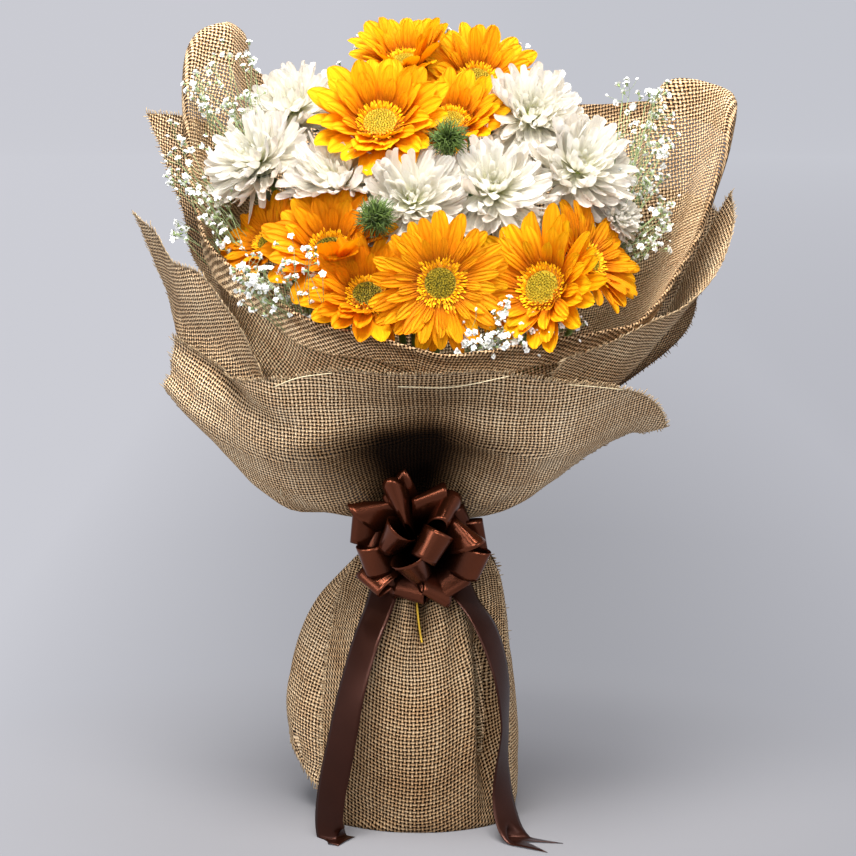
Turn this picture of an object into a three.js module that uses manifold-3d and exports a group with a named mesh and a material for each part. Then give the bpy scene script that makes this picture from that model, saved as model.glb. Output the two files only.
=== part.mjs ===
// A hand-tied bunch of daisies: yellow gerberas and white chrysanthemum daisies with baby's
// breath and fern tips, gathered in five sheets of burlap and tied with a brown satin ribbon.
// Millimetres, +Z up. The bunch stands on its cut stems and cloth foot, and its front faces -Y.
// Angles round the upright axis are in degrees: 0 is the front (-Y) and 90 is the right (+X).
import * as THREE from "three";
import { mergeVertices } from "three/addons/utils/BufferGeometryUtils.js";
import Module from "manifold-3d";

const wasm = await Module();
wasm.setup();

// ---------------------------------------------------------------- driving dimensions
const NECK_Z = 215; // height of the binding
const STEM_PITCH = 6.3; // between stems where they are bound
const FOOT_SPREAD = 1.9; // how much wider the stems stand on the floor than at the binding
const GERBERA_RADIUS = 49;
const CLOTH = 1; // burlap thickness
const CLOTH_LAYER = 2; // between one gathered sheet and the next at the neck
const RIBBON_WIDTH = 20;
const RIBBON = 0.8; // ribbon thickness
const CLEAR = 0.4; // least gap between pieces that aren't one
const SEAT = 0.3; // gap between a piece and what carries it

// Each bloom: its centre, where it faces (angle round, degrees up) and its size as a share.
const GERBERAS = [
  { name: "gerbera_front", at: [16, -122, 413], faces: [2, 12], size: 1.0 },
  { name: "gerbera_front_left", at: [-35, -104, 403], faces: [-2, 42], size: 0.92 },
  { name: "gerbera_left", at: [-62, -80, 432], faces: [-12, 52], size: 0.95 },
  { name: "gerbera_far_left", at: [-108, -44, 436], faces: [-52, 42], size: 0.78 },
  { name: "gerbera_front_right", at: [88, -106, 408], faces: [-8, 18], size: 0.95 },
  { name: "gerbera_far_right", at: [122, -62, 424], faces: [52, 34], size: 0.9 },
  { name: "gerbera_upper_left", at: [-27, -26, 522], faces: [-6, 40], size: 0.95 },
  { name: "gerbera_upper_right", at: [24, 2, 520], faces: [-2, 52], size: 0.92 },
  { name: "gerbera_top_right", at: [45, 46, 542], faces: [14, 40], size: 0.95 },
  { name: "gerbera_top_left", at: [-18, 46, 553], faces: [-14, 56], size: 0.9 },
];
const CHRYSANTHEMUMS = [
  { name: "chrysanthemum_left", at: [-117, -18, 492], faces: [-42, 40], size: 1.08 },
  { name: "chrysanthemum_upper_left", at: [-92, 26, 528], faces: [-24, 50], size: 1.05 },
  { name: "chrysanthemum_centre_left", at: [-56, -46, 480], faces: [-8, 58], size: 1.1 },
  { name: "chrysanthemum_centre", at: [-4, -68, 466], faces: [0, 26], size: 1.05 },
  { name: "chrysanthemum_centre_right", at: [54, -52, 472], faces: [8, 44], size: 1.12 },
  { name: "chrysanthemum_upper_right", at: [83, 4, 523], faces: [10, 36], size: 1.08 },
  { name: "chrysanthemum_right", at: [116, -22, 486], faces: [22, 32], size: 1.12 },
  { name: "chrysanthemum_small", at: [146, -28, 452], faces: [40, 30], size: 0.5 },
];
// Fern tips, and sprays of baby's breath: where each spray's head is and how far it spreads.
const FERN_TIPS = [
  { name: "fern_tip_lower", at: [-29, -96, 456], faces: [-4, 34] },
  { name: "fern_tip_upper", at: [22, -54, 509], faces: [6, 38] },
];
const SPRAYS = [
  { name: "baby_breath_upper_left", at: [-140, 8, 542], spread: [30, 18, 34] },
  { name: "baby_breath_left", at: [-138, -30, 470], spread: [26, 18, 40] },
  { name: "baby_breath_front_left", at: [-88, -102, 404], spread: [32, 12, 20] },
  {
    name: "baby_breath_front_right",
    at: [56, -124, 376],
    spread: [34, 10, 18],
    stemTip: [34, -72, 338],
  },
  { name: "baby_breath_right", at: [154, -14, 478], spread: [24, 24, 52] },
  { name: "baby_breath_back", at: [6, 92, 556], spread: [70, 16, 26] },
];

const HEM = 0.3; // height of the middle of the cloth where it is tucked in flat on the floor
// Burlap sheets, as columns from one side edge to the other. top, belly, throat and foot are
// [angle, radius, height]; the neck lies between throat and foot at the sheet's own radius.
// The inner sheet is one closed funnel that ends just under the neck.
const INNER_SHEET = [
  { top: [0, 140, 370], belly: [0, 62, 306], throat: [30, 258] },
  { top: [-15, 139, 377], belly: [-15, 76, 306], throat: [33, 254] },
  { top: [-30, 138, 387], belly: [-30, 94, 308] },
  { top: [-45, 138, 398], belly: [-45, 106, 316] },
  { top: [-60, 144, 416], belly: [-60, 117, 326] },
  { top: [-75, 157, 442], belly: [-75, 126, 340] },
  { top: [-90, 170, 490], belly: [-90, 134, 360] },
  { top: [-99, 173, 578], belly: [-98, 139, 380] },
  { top: [-110, 166, 592], belly: [-108, 141, 396] },
  { top: [-121, 154, 584], belly: [-119, 139, 396] },
  { top: [-132, 158, 549], belly: [-132, 134, 388] },
  { top: [-148, 149, 543], belly: [-148, 127, 382] },
  { top: [-164, 143, 538], belly: [-164, 122, 378] },
  { top: [-180, 140, 534], belly: [-180, 120, 375] },
  { top: [-197, 144, 531], belly: [-197, 122, 375] },
  { top: [-213, 151, 530], belly: [-213, 126, 375] },
  { top: [-229, 163, 529], belly: [-229, 132, 375] },
  { top: [-247, 192, 532], belly: [-246, 143, 375] },
  { top: [-261, 220, 550], belly: [-260, 152, 378] },
  { top: [-271, 226, 528], belly: [-271, 152, 368] },
  { top: [-281, 208, 448], belly: [-281, 146, 350] },
  { top: [-297, 186, 390], belly: [-297, 134, 326] },
  { top: [-313, 170, 379], belly: [-313, 117, 314] },
  { top: [-329, 157, 372], belly: [-329, 96, 307] },
  { top: [-345, 147, 370], belly: [-345, 76, 305], throat: [33, 254] },
];
const RIGHT_SHEET = [
  { top: [94, 236, 466], belly: [94, 170, 365], foot: [134, 70, 1] },
  { top: [84, 230, 440], belly: [84, 163, 350], foot: [107, 74, 1] },
  { top: [70, 208, 398], belly: [70, 155, 332], foot: [87, 74, 1] },
  { top: [52, 188, 374], belly: [52, 140, 318], foot: [66, 71, 1] },
  { top: [36, 174, 364], belly: [36, 118, 312], foot: [46, 64, 1] },
];
const BACK_SHEET = [
  { top: [-101, 205, 526], belly: [-104, 162, 392], foot: [-124, 80, HEM] },
  { top: [-113, 192, 520], belly: [-115, 160, 385], foot: [-137, 80, HEM] },
  { top: [-131, 184, 500], belly: [-131, 155, 372], foot: [-151, 80, HEM] },
  { top: [-155, 174, 482], belly: [-155, 148, 360], foot: [-166, 80, HEM] },
  { top: [-180, 168, 472], belly: [-180, 144, 355], foot: [-180, 80, HEM] },
  { top: [-205, 174, 470], belly: [-205, 148, 358], foot: [-194, 80, HEM] },
  { top: [-229, 192, 466], belly: [-229, 158, 360], foot: [-208, 80, HEM] },
  { top: [-248, 222, 462], belly: [-250, 176, 364], foot: [-221, 80, HEM] },
  { top: [-261, 236, 446], belly: [-271, 184, 352], foot: [-234, 80, HEM] },
];
const LEFT_SHEET = [
  { top: [-93, 215, 451], belly: [-98, 172, 350], foot: [-132, 92, 22] },
  { top: [-86, 196, 428], belly: [-87, 164, 342], foot: [-112, 97, 50] },
  { top: [-76, 170, 402], belly: [-76, 154, 332], foot: [-97, 101, 55] },
  { top: [-62, 157, 372], belly: [-63, 142, 320], foot: [-76, 82, 26] },
  { top: [-48, 153, 354], belly: [-50, 128, 310], foot: [-56, 62, 4] },
];
const FRONT_SHEET = [
  { top: [-79, 184, 366], belly: [-84, 184, 318], throat: [84, 240], foot: [-62, 81, HEM] },
  { top: [-62, 168, 347], belly: [-66, 151, 292], throat: [86, 239], foot: [-47, 77, HEM] },
  { top: [-40, 164, 356], belly: [-42, 136, 285], throat: [78, 239], foot: [-31, 74, HEM] },
  { top: [-18, 166, 367], belly: [-18, 98, 295], throat: [47, 252], foot: [-16, 73, HEM] },
  { top: [4, 168, 371], belly: [3, 72, 299], throat: [38, 258], foot: [-1, 72, HEM] },
  { top: [24, 172, 362], belly: [22, 102, 295], throat: [48, 252], foot: [13, 73, HEM] },
  { top: [46, 182, 352], belly: [43, 135, 286], throat: [76, 240], foot: [27, 74, HEM] },
  { top: [66, 187, 334], belly: [62, 143, 287], throat: [80, 240], foot: [41, 76, HEM] },
  { top: [78, 186, 310], belly: [76, 152, 290], throat: [76, 239], foot: [58, 78, HEM] },
];
const THROAT = [15, 250]; // how far the other throats stand out from the neck, and their height
const NECK_HALF = 10; // half the height of the gathered neck
const SHOULDER = [1.38, 19]; // the cloth's radius under the neck, in neck radii, and more at the sides
const SHOULDER_DROP = 27; // and how far down it is
const OVERLIE = [0.3, 0.9]; // how much higher outer sheets leave the neck and reach the shoulder
const WAIST_DROP = 65; // from the neck down to the middle of the foot's flank
const FLANK_Z = 96; // the foot's flank is upright to three quarters of the way from its hem to here
const TUCK = 24; // how far the hem is tucked in under the foot

// ---------------------------------------------------------------- materials
const material = (color, roughness) =>
  new THREE.MeshStandardMaterial({ color, roughness, metalness: 0, side: THREE.DoubleSide });
const YELLOW_PETAL = material(0xffb010, 0.55);
const WHITE_PETAL = material(0xf6f4ea, 0.55);
const GREEN_STEM = material(0x5c8038, 0.6);
const GREEN_LEAF = material(0x2f5a2c, 0.6);
const BURLAP = material(0xb08d5e, 0.9);
const SATIN = material(0x4a2216, 0.3);
const TWINE = material(0xa98c5c, 0.9);

// ---------------------------------------------------------------- vectors and solids
const { degToRad: rad, lerp } = THREE.MathUtils;
const UP = new THREE.Vector3(0, 0, 1);
const vector = (a) => new THREE.Vector3(...a);

// The point at an angle, radius and height.
const polar = ([angle, r, z]) =>
  new THREE.Vector3(r * Math.sin(rad(angle)), -r * Math.cos(rad(angle)), z);

// The direction of an angle round and an elevation.
function direction([angle, elevation]) {
  const level = Math.cos(rad(elevation));
  return polar([angle, level, Math.sin(rad(elevation))]);
}

function seededRandom(seed) {
  let state = seed;
  return () => {
    state = (state * 1664525 + 1013904223) % 4294967296;
    return state / 4294967296;
  };
}

function solidOf(geometry) {
  const bare = geometry.clone();
  bare.deleteAttribute("normal");
  bare.deleteAttribute("uv");
  const merged = mergeVertices(bare, 1e-3);
  return new wasm.Manifold(
    new wasm.Mesh({
      numProp: 3,
      vertProperties: new Float32Array(merged.attributes.position.array),
      triVerts: new Uint32Array(merged.index.array),
    }),
  );
}

function geometryOf(solid) {
  const { vertProperties, triVerts } = solid.getMesh();
  const geometry = new THREE.BufferGeometry();
  geometry.setAttribute("position", new THREE.BufferAttribute(vertProperties, 3));
  geometry.setIndex(new THREE.BufferAttribute(triVerts, 1));
  return geometry;
}

function geometryFrom(points, faces) {
  const geometry = new THREE.BufferGeometry().setFromPoints(points);
  geometry.setIndex(faces.flat());
  return geometry;
}

const fuse = (solids) => solids.reduce((whole, next) => whole.add(next));

// The largest body only: a scrap that a trimmed petal leaves is dropped.
function wholeOf(solid) {
  return solid.decompose().reduce((a, b) => (b.volume() > a.volume() ? b : a));
}

// What is already placed, for keeping pieces clear of each other.
const placed = [];

function near(a, b) {
  return [0, 1, 2].every((i) => a.min[i] < b.max[i] + CLEAR && b.min[i] < a.max[i] + CLEAR);
}

function isClear(solid, owner) {
  const box = solid.boundingBox();
  return placed.every(
    (other) =>
      other.owner === owner || !near(box, other.box) || solid.minGap(other.solid, 1) > CLEAR,
  );
}

function place(solid, owner) {
  placed.push({ solid, owner, box: solid.boundingBox() });
  return solid;
}

const bouquet = new THREE.Group();

function addMesh(name, solid, look, matrix = new THREE.Matrix4()) {
  const mesh = new THREE.Mesh(geometryOf(solid), look);
  mesh.name = name;
  mesh.applyMatrix4(matrix);
  bouquet.add(mesh);
}

// ---------------------------------------------------------------- burlap sheets
// Catmull-Rom through numbers, one unit of t apart.
function spline(values, t) {
  const last = values.length - 1;
  const i = Math.min(Math.floor(t), last - 1);
  const f = t - i;
  const [b, c] = [values[i], values[i + 1]];
  const a = i > 0 ? values[i - 1] : 2 * b - c;
  const d = i + 1 < last ? values[i + 2] : 2 * c - b;
  return b + 0.5 * f * (c - a + f * (2 * a - 5 * b + 4 * c - d + f * (3 * (b - c) + d - a)));
}

const splinePoint = (points, t) => [0, 1, 2].map((k) => spline(points.map((p) => p[k]), t));

// A column's control points from its top edge down to its hem.
function sheetColumn({ top, belly, throat, foot }, neckRadius, tucked) {
  const [angle] = belly;
  const [throatRadius, throatZ] = throat ?? [neckRadius + THROAT[0], THROAT[1]];
  const points = [
    top,
    [lerp(top[0], angle, 0.5), lerp(top[1], belly[1], 0.48), lerp(top[2], belly[2], 0.52)],
    belly,
    [angle, throatRadius, throatZ],
    [angle, neckRadius, NECK_Z + NECK_HALF],
    [angle, neckRadius, NECK_Z - NECK_HALF + OVERLIE[0] * (neckRadius - INNER_NECK)],
  ];
  if (!foot) return [...points, [angle, neckRadius, NECK_Z - 2 * NECK_HALF]];
  const [footAngle, footRadius, footZ] = foot;
  // Below the neck the cloth puffs out at once at the sides, and later in front and behind.
  const shoulderAngle = lerp(angle, footAngle, 0.3);
  const shoulder = SHOULDER[0] * neckRadius + SHOULDER[1] * Math.sin(rad(shoulderAngle)) ** 4;
  points.push(
    [shoulderAngle, shoulder, NECK_Z - SHOULDER_DROP + OVERLIE[1] * (neckRadius - INNER_NECK)],
    [lerp(angle, footAngle, 0.7), lerp(shoulder, footRadius, 0.66), NECK_Z - WAIST_DROP],
    [footAngle, footRadius + 1, lerp(footZ, FLANK_Z, 0.75)],
    foot,
  );
  if (tucked) points.push([footAngle, footRadius - TUCK, HEM]);
  return points;
}

// A sheet's surface as columns of points, from the top edge down. A closed sheet has just the
// columns that it was given, and an open one has them evenly spaced.
function sheetGrid(columns, rows, across, closed) {
  const grid = [];
  for (let i = 0; i < across + (closed ? 0 : 1); i += 1) {
    const t = closed ? i : (i / across) * (columns.length - 1);
    const column = columns[0].map((_, row) => splinePoint(columns.map((c) => c[row]), t));
    grid.push(rows.map((row) => polar(splinePoint(column, row))));
  }
  return grid;
}

// A cloth of even thickness on both sides of the grid. Nothing goes below the floor.
function sheetSolid(grid, closed) {
  const across = grid.length;
  const along = grid[0].length;
  const at = (i, j) => {
    const k = closed ? (i + across) % across : THREE.MathUtils.clamp(i, 0, across - 1);
    return grid[k][THREE.MathUtils.clamp(j, 0, along - 1)];
  };
  const points = [];
  for (const side of [0.5, -0.5]) {
    for (let i = 0; i < across; i += 1) {
      for (let j = 0; j < along; j += 1) {
        const u = at(i + 1, j).clone().sub(at(i - 1, j));
        const v = at(i, j + 1).clone().sub(at(i, j - 1));
        const normal = u.cross(v).normalize();
        const p = at(i, j).clone().addScaledVector(normal, side * CLOTH);
        p.z = Math.max(p.z, 0);
        points.push(p);
      }
    }
  }
  const count = across * along;
  const id = (i, j, under) => ((i + across) % across) * along + j + (under ? count : 0);
  const faces = [];
  const quad = (a, b, c, d) => faces.push([a, b, c], [a, c, d]);
  const spans = closed ? across : across - 1;
  for (let i = 0; i < spans; i += 1) {
    for (let j = 0; j < along - 1; j += 1) {
      quad(id(i, j, 0), id(i + 1, j, 0), id(i + 1, j + 1, 0), id(i, j + 1, 0));
      quad(id(i, j, 1), id(i, j + 1, 1), id(i + 1, j + 1, 1), id(i + 1, j, 1));
    }
    for (const [j, turned] of [[0, false], [along - 1, true]]) {
      const [a, b] = turned ? [i + 1, i] : [i, i + 1];
      quad(id(a, j, 0), id(a, j, 1), id(b, j, 1), id(b, j, 0));
    }
  }
  if (!closed) {
    for (let j = 0; j < along - 1; j += 1) {
      quad(id(0, j, 0), id(0, j + 1, 0), id(0, j + 1, 1), id(0, j, 1));
      const i = across - 1;
      quad(id(i, j, 0), id(i, j, 1), id(i, j + 1, 1), id(i, j + 1, 0));
    }
  }
  const solid = solidOf(geometryFrom(points, faces));
  if (solid.volume() > 0) return solid;
  return solidOf(geometryFrom(points, faces.map(([a, b, c]) => [a, c, b])));
}

// Rows are places along a column, in control points from its top edge.
const UPPER_ROWS = [0, 0.7, 1.4, 2, 2.5, 3, 4, 5];
const SHEETS = [
  { name: "burlap_inner", columns: INNER_SHEET, across: INNER_SHEET.length, closed: true },
  { name: "burlap_right", columns: RIGHT_SHEET, across: 6 },
  { name: "burlap_back", columns: BACK_SHEET, across: 11, tucked: true },
  { name: "burlap_left", columns: LEFT_SHEET, across: 6 },
  { name: "burlap_front", columns: FRONT_SHEET, across: 13, tucked: true },
];
const STEM_BUNDLE = 3 * STEM_PITCH + 1; // radius of the bound stems
const TWINE_WIDTH = 2;
const INNER_NECK = STEM_BUNDLE + TWINE_WIDTH + 2 * SEAT + CLOTH / 2;

function addSheets() {
  SHEETS.forEach(({ name, columns, across, closed = false, tucked = false }, i) => {
    const radius = INNER_NECK + i * CLOTH_LAYER;
    const controls = columns.map((column) => sheetColumn(column, radius, tucked));
    const rows = [...UPPER_ROWS];
    for (let row = 6; row < controls[0].length; row += 1) rows.push(row);
    const grid = sheetGrid(controls, rows, across, closed);
    addMesh(name, place(sheetSolid(grid, closed), name), BURLAP);
  });
}

// ---------------------------------------------------------------- stems
// A closed tube through the points, from the bottom up, with a radius at each point.
function tube(points, radii, sides) {
  const rings = [];
  let across = new THREE.Vector3(1, 0, 0);
  points.forEach((point, i) => {
    const before = points[Math.max(i - 1, 0)];
    const after = points[Math.min(i + 1, points.length - 1)];
    const along = after.clone().sub(before).normalize();
    across = across.clone().addScaledVector(along, -across.dot(along)).normalize();
    const other = along.clone().cross(across);
    for (let k = 0; k < sides; k += 1) {
      const turn = (2 * Math.PI * k) / sides;
      rings.push(
        point
          .clone()
          .addScaledVector(across, radii[i] * Math.cos(turn))
          .addScaledVector(other, radii[i] * Math.sin(turn)),
      );
    }
  });
  const faces = [];
  const end = (points.length - 1) * sides;
  for (let i = 0; i < end; i += sides) {
    for (let k = 0; k < sides; k += 1) {
      const [a, b] = [i + k, i + ((k + 1) % sides)];
      faces.push([a, b, b + sides], [a, b + sides, a + sides]);
    }
  }
  for (let k = 1; k < sides - 1; k += 1) {
    faces.push([0, k + 1, k], [end, end + k, end + k + 1]);
  }
  return geometryFrom(rings, faces);
}

// Places in the binding: a hexagonal pack, from the middle out.
function bindingSlots(count) {
  const slots = [];
  for (let a = -5; a <= 5; a += 1) {
    for (let b = -5; b <= 5; b += 1) {
      slots.push(new THREE.Vector2(STEM_PITCH * (a + b / 2), STEM_PITCH * b * Math.sqrt(0.75)));
    }
  }
  return slots.sort((p, q) => p.length() - q.length() || p.angle() - q.angle()).slice(0, count);
}

// Stems go to slots so that no two have to cross on the way up: any two that would are swapped.
function assignSlots(leans) {
  const slots = bindingSlots(leans.length);
  for (let swapped = true; swapped; ) {
    swapped = false;
    for (let i = 0; i < slots.length; i += 1) {
      for (let j = 0; j < i; j += 1) {
        const apart = slots[i].clone().sub(slots[j]);
        if (apart.dot(leans[i].clone().sub(leans[j])) < 0) {
          [slots[i], slots[j]] = [slots[j], slots[i]];
          swapped = true;
        }
      }
    }
  }
  return slots;
}

const STEM_RADIUS = 3;
const STEM_SIDES = 5;
const STEM_STRAIGHT = 12; // the bound stems run straight this far below and above the middle
const STEM_START = NECK_Z + STEM_STRAIGHT;
const SPRAY_PIVOT = 60; // a spray's stem leans from this far above the neck
const STEM_CURVE = 250; // stems curve outward more, the smaller this height is
const NOD = [14, 40]; // a stem's last stretch: its least length, and more where the head nods
const NOD_DROP = 16; // and how much lower that stretch begins
const SPRAY_DEPTH = 0.16; // how far down its way to the binding a spray's florets begin
const spreadAt = (rise) => rise * (1 + rise / STEM_CURVE);

// A spray's stem ends below and behind its florets, on the way back to the binding.
function sprayStemEnd({ at, spread, stemTip }) {
  if (stemTip) return vector(stemTip);
  const end = vector(at).lerp(new THREE.Vector3(0, 0, NECK_Z), SPRAY_DEPTH);
  end.z -= spread[2] / 2;
  return end;
}

// Where a stem leaves its even curve for its head, and how much it leans up to there.
function stemTop(head) {
  const end = head.spread ? sprayStemEnd(head) : vector(head.at);
  const outward = end.clone().setZ(end.z - NECK_Z - SPRAY_PIVOT).normalize();
  const facing = head.faces ? direction(head.faces) : outward;
  const gap = head.underside ? head.underside * head.size + SEAT : 0;
  const top = end.addScaledVector(facing, -gap);
  const bend = top.clone().addScaledVector(facing, -NOD[0] - NOD[1] * (1 - facing.z));
  bend.z -= NOD_DROP;
  const lean = new THREE.Vector2(bend.x, bend.y);
  return { facing, top, bend, lean: lean.divideScalar(spreadAt(bend.z - STEM_START)) };
}

// The stations of a stem from its cut end on the floor, through the binding, to its head.
function stemStations({ facing, top, bend }, slot, calyx) {
  const foot = new THREE.Vector3(slot.x * FOOT_SPREAD, slot.y * FOOT_SPREAD, 0);
  const start = new THREE.Vector3(slot.x, slot.y, STEM_START);
  const stations = [
    [foot, STEM_RADIUS],
    [start.clone().setZ(NECK_Z - STEM_STRAIGHT), STEM_RADIUS],
    [start, STEM_RADIUS],
  ];
  const rise = bend.z - STEM_START;
  for (const share of [0.35, 0.7]) {
    const point = start.clone().lerp(bend, spreadAt(rise * share) / spreadAt(rise));
    stations.push([point.setZ(STEM_START + rise * share), STEM_RADIUS * 0.9]);
  }
  stations.push([bend, STEM_RADIUS * 0.8]);
  if (calyx) {
    const [calyxRadius, calyxHeight] = calyx;
    stations.push([top.clone().addScaledVector(facing, -calyxHeight), STEM_RADIUS * 0.8]);
    stations.push([top, calyxRadius]);
  } else {
    stations.push([top, STEM_RADIUS * 0.5]);
  }
  return stations;
}

function stemSolid(stations) {
  const points = stations.map(([point]) => point);
  const radii = stations.map(([, radius]) => radius);
  const solid = solidOf(tube(points, radii, STEM_SIDES));
  // The cut end lies flat on the floor.
  return solid.trimByPlane([0, 0, 1], 0);
}

// ---------------------------------------------------------------- petals
// A petal's outline: how far along each station is, and its width there as a share.
const PETAL_STATIONS = [[0, 0.5], [0.66, 1], [1, 0.42]];

// A blade along +X from its root, facing +Z, keeled underneath and curled up by curl degrees.
function petalGeometry({ length, width, keel, curl }) {
  const points = [];
  const spine = new THREE.Vector3();
  PETAL_STATIONS.forEach(([t, share], i) => {
    if (i > 0) {
      const [before] = PETAL_STATIONS[i - 1];
      const slope = rad(curl * (t + before) * 0.5);
      const step = length * (t - before);
      spine.add(new THREE.Vector3(step * Math.cos(slope), 0, step * Math.sin(slope)));
    }
    const half = (width * share) / 2;
    points.push(spine.clone().setY(half), spine.clone().setY(-half));
    points.push(spine.clone().add(new THREE.Vector3(0, 0, -keel)));
  });
  const faces = [[0, 2, 1]];
  const end = points.length - 3;
  for (let i = 0; i < end; i += 3) {
    for (const [a, b] of [[0, 1], [1, 2], [2, 0]]) {
      faces.push([i + a, i + b, i + 3 + b], [i + a, i + 3 + b, i + 3 + a]);
    }
  }
  faces.push([end, end + 1, end + 2]);
  return geometryFrom(points, faces);
}

// Tries a whorl's petals at their own angle, then bent back and forward, then shorter, until
// each is clear of everything that isn't its own bloom. One that can't be is left out.
const BENDS = [0, -8, 8, -16, 16, -24, 24, -34, 34, -46, 46, -60, 60];
const LENGTHS = [1, 0.86, 0.7, 0.55];

function clearPetal(make, matrix, owner) {
  for (const share of LENGTHS) {
    for (const bend of BENDS) {
      const petal = make(share, bend);
      const inPlace = petal.transform(matrix.elements);
      if (isClear(inPlace, owner)) {
        place(inPlace, owner);
        return petal;
      }
    }
  }
  return null;
}

function whorl(layer, size, matrix, owner) {
  const petals = [];
  for (let k = 0; k < layer.count; k += 1) {
    const turn = 2 * Math.PI * ((k + layer.offset) / layer.count);
    const petal = clearPetal(
      (share, bend) => {
        const geometry = petalGeometry({ ...layer, length: layer.length * share });
        geometry.rotateY(-rad(layer.rise + bend));
        geometry.translate(layer.root, 0, layer.lift);
        geometry.rotateZ(turn);
        geometry.scale(size, size, size);
        return solidOf(geometry);
      },
      matrix,
      owner,
    );
    if (petal) petals.push(petal);
  }
  return petals;
}

// ---------------------------------------------------------------- blooms
// underside is how far below its centre a head meets its stem, and calyx is the stem's radius
// there and how far down it widens. Every core has as many sides as its lowest whorl has petals.
const GERBERA = {
  look: YELLOW_PETAL,
  underside: 8,
  calyx: [8, 6.5],
  core: [[0, -8], [8, -8], [16, -2.4], [16, 3.6], [0, 2.4]],
  petal: { keel: 1.2, curl: 6 },
  whorls: [
    { count: 11, offset: 0.5, root: 13, lift: -1, rise: 7, length: GERBERA_RADIUS - 13, width: 15.5 },
    { count: 5, offset: 0, root: 13, lift: 1.4, rise: 22, length: GERBERA_RADIUS * 0.62, width: 13 },
  ],
};
const CHRYSANTHEMUM = {
  look: WHITE_PETAL,
  underside: 10,
  calyx: [6, 5],
  leafy: true,
  core: [[0, -10], [6, -10], [14, -5], [14, 4], [0, 11]],
  petal: { keel: 1.4, curl: 20 },
  whorls: [
    { count: 8, offset: 0.5, root: 10, lift: -2.5, rise: -4, length: 26, width: 15 },
    { count: 5, offset: 0, root: 10, lift: 1.4, rise: 24, length: 23, width: 14 },
    { count: 3, offset: 0.5, root: 6, lift: 6, rise: 50, length: 19, width: 13 },
  ],
};

function headMatrix({ at, faces }) {
  const turn = new THREE.Quaternion().setFromUnitVectors(UP, direction(faces));
  return new THREE.Matrix4().compose(vector(at), turn, new THREE.Vector3(1, 1, 1));
}

function coreSolid({ core, whorls, size }) {
  const outline = core.map(([r, z]) => new THREE.Vector2(r * size, z * size));
  const lathe = new THREE.LatheGeometry(outline, whorls[0].count).rotateX(Math.PI / 2);
  return solidOf(lathe.rotateZ(-Math.PI / 2));
}

function petalsOf(bloom, matrix) {
  const { whorls, petal, size, name } = bloom;
  return whorls.flatMap((layer) => whorl({ ...petal, ...layer }, size, matrix, name));
}

// ---------------------------------------------------------------- leaves
const LEAF_LENGTH = 42;
const LEAF_THICKNESS = 0.8;
const LEAF_RISE = 38; // degrees up from level
const LEAF_TURN = 36; // degrees from one side that is tried to the next
// A chrysanthemum leaf's lobed half outline, as shares of its length.
const LEAF_HALF = [[0, 0.04], [0.3, 0.18], [0.42, 0.1], [0.62, 0.27], [0.76, 0.13]];

function leafGeometry() {
  const upper = LEAF_HALF.map(([x, y]) => [x * LEAF_LENGTH, y * LEAF_LENGTH]);
  const outline = [...upper, [LEAF_LENGTH, 0], ...upper.toReversed().map(([x, y]) => [x, -y])];
  const shape = new THREE.Shape(outline.map(([x, y]) => new THREE.Vector2(x, y)));
  return new THREE.ExtrudeGeometry(shape, { depth: LEAF_THICKNESS, bevelEnabled: false });
}

// A leaf just below a stem's bend, turned to the first clear side.
function leafOn(stations, owner) {
  const [below, bend] = stations.slice(-4, -2).map(([point]) => point);
  const at = below.clone().lerp(bend, 0.85);
  const outward = Math.atan2(at.y, at.x);
  for (let k = 0; k < 360 / LEAF_TURN; k += 1) {
    const turn = rad(LEAF_TURN * Math.ceil(k / 2) * (k % 2 ? 1 : -1));
    const geometry = leafGeometry().rotateY(-rad(LEAF_RISE)).rotateZ(outward + turn);
    const leaf = solidOf(geometry.translate(at.x, at.y, at.z));
    if (isClear(leaf, owner)) return [place(leaf, owner)];
  }
  return [];
}

// ---------------------------------------------------------------- fern tips
const NEEDLES = 12;
const NEEDLE_LENGTH = 12;
const NEEDLE_RADII = [1.1, 0.4];
const NEEDLE_COVER = 1.35; // how far down the ball from its top they grow, in its radii
const FERN_CORE = 5.5;
const GOLDEN_ANGLE = Math.PI * (3 - Math.sqrt(5));

// Needles spread evenly over the upper part of a ball.
function fernTip(head) {
  const needles = [solidOf(new THREE.IcosahedronGeometry(FERN_CORE, 0))];
  const matrix = headMatrix(head);
  for (let k = 0; k < NEEDLES; k += 1) {
    const z = 1 - (NEEDLE_COVER * (k + 0.5)) / NEEDLES;
    const level = Math.sqrt(1 - z * z);
    const turn = k * GOLDEN_ANGLE;
    const way = new THREE.Vector3(level * Math.cos(turn), level * Math.sin(turn), z);
    const ends = [FERN_CORE / 2, NEEDLE_LENGTH].map((r) => way.clone().multiplyScalar(r));
    const needle = solidOf(tube(ends, NEEDLE_RADII, 3));
    const inPlace = needle.transform(matrix.elements);
    if (isClear(inPlace, head.name)) needles.push(needle);
  }
  const solid = wholeOf(fuse(needles)).transform(matrix.elements);
  return place(solid, head.name);
}

// ---------------------------------------------------------------- baby's breath
const FLORETS = 8;
const FLORET_RADIUS = 3;
const TWIG_RADIUS = 0.8;
const TWIGS_LEAVE = [0.35, 0.98]; // shares of the stem's last stretch
const TRIES = 40;
const FIRST_SEED = 11;

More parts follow.
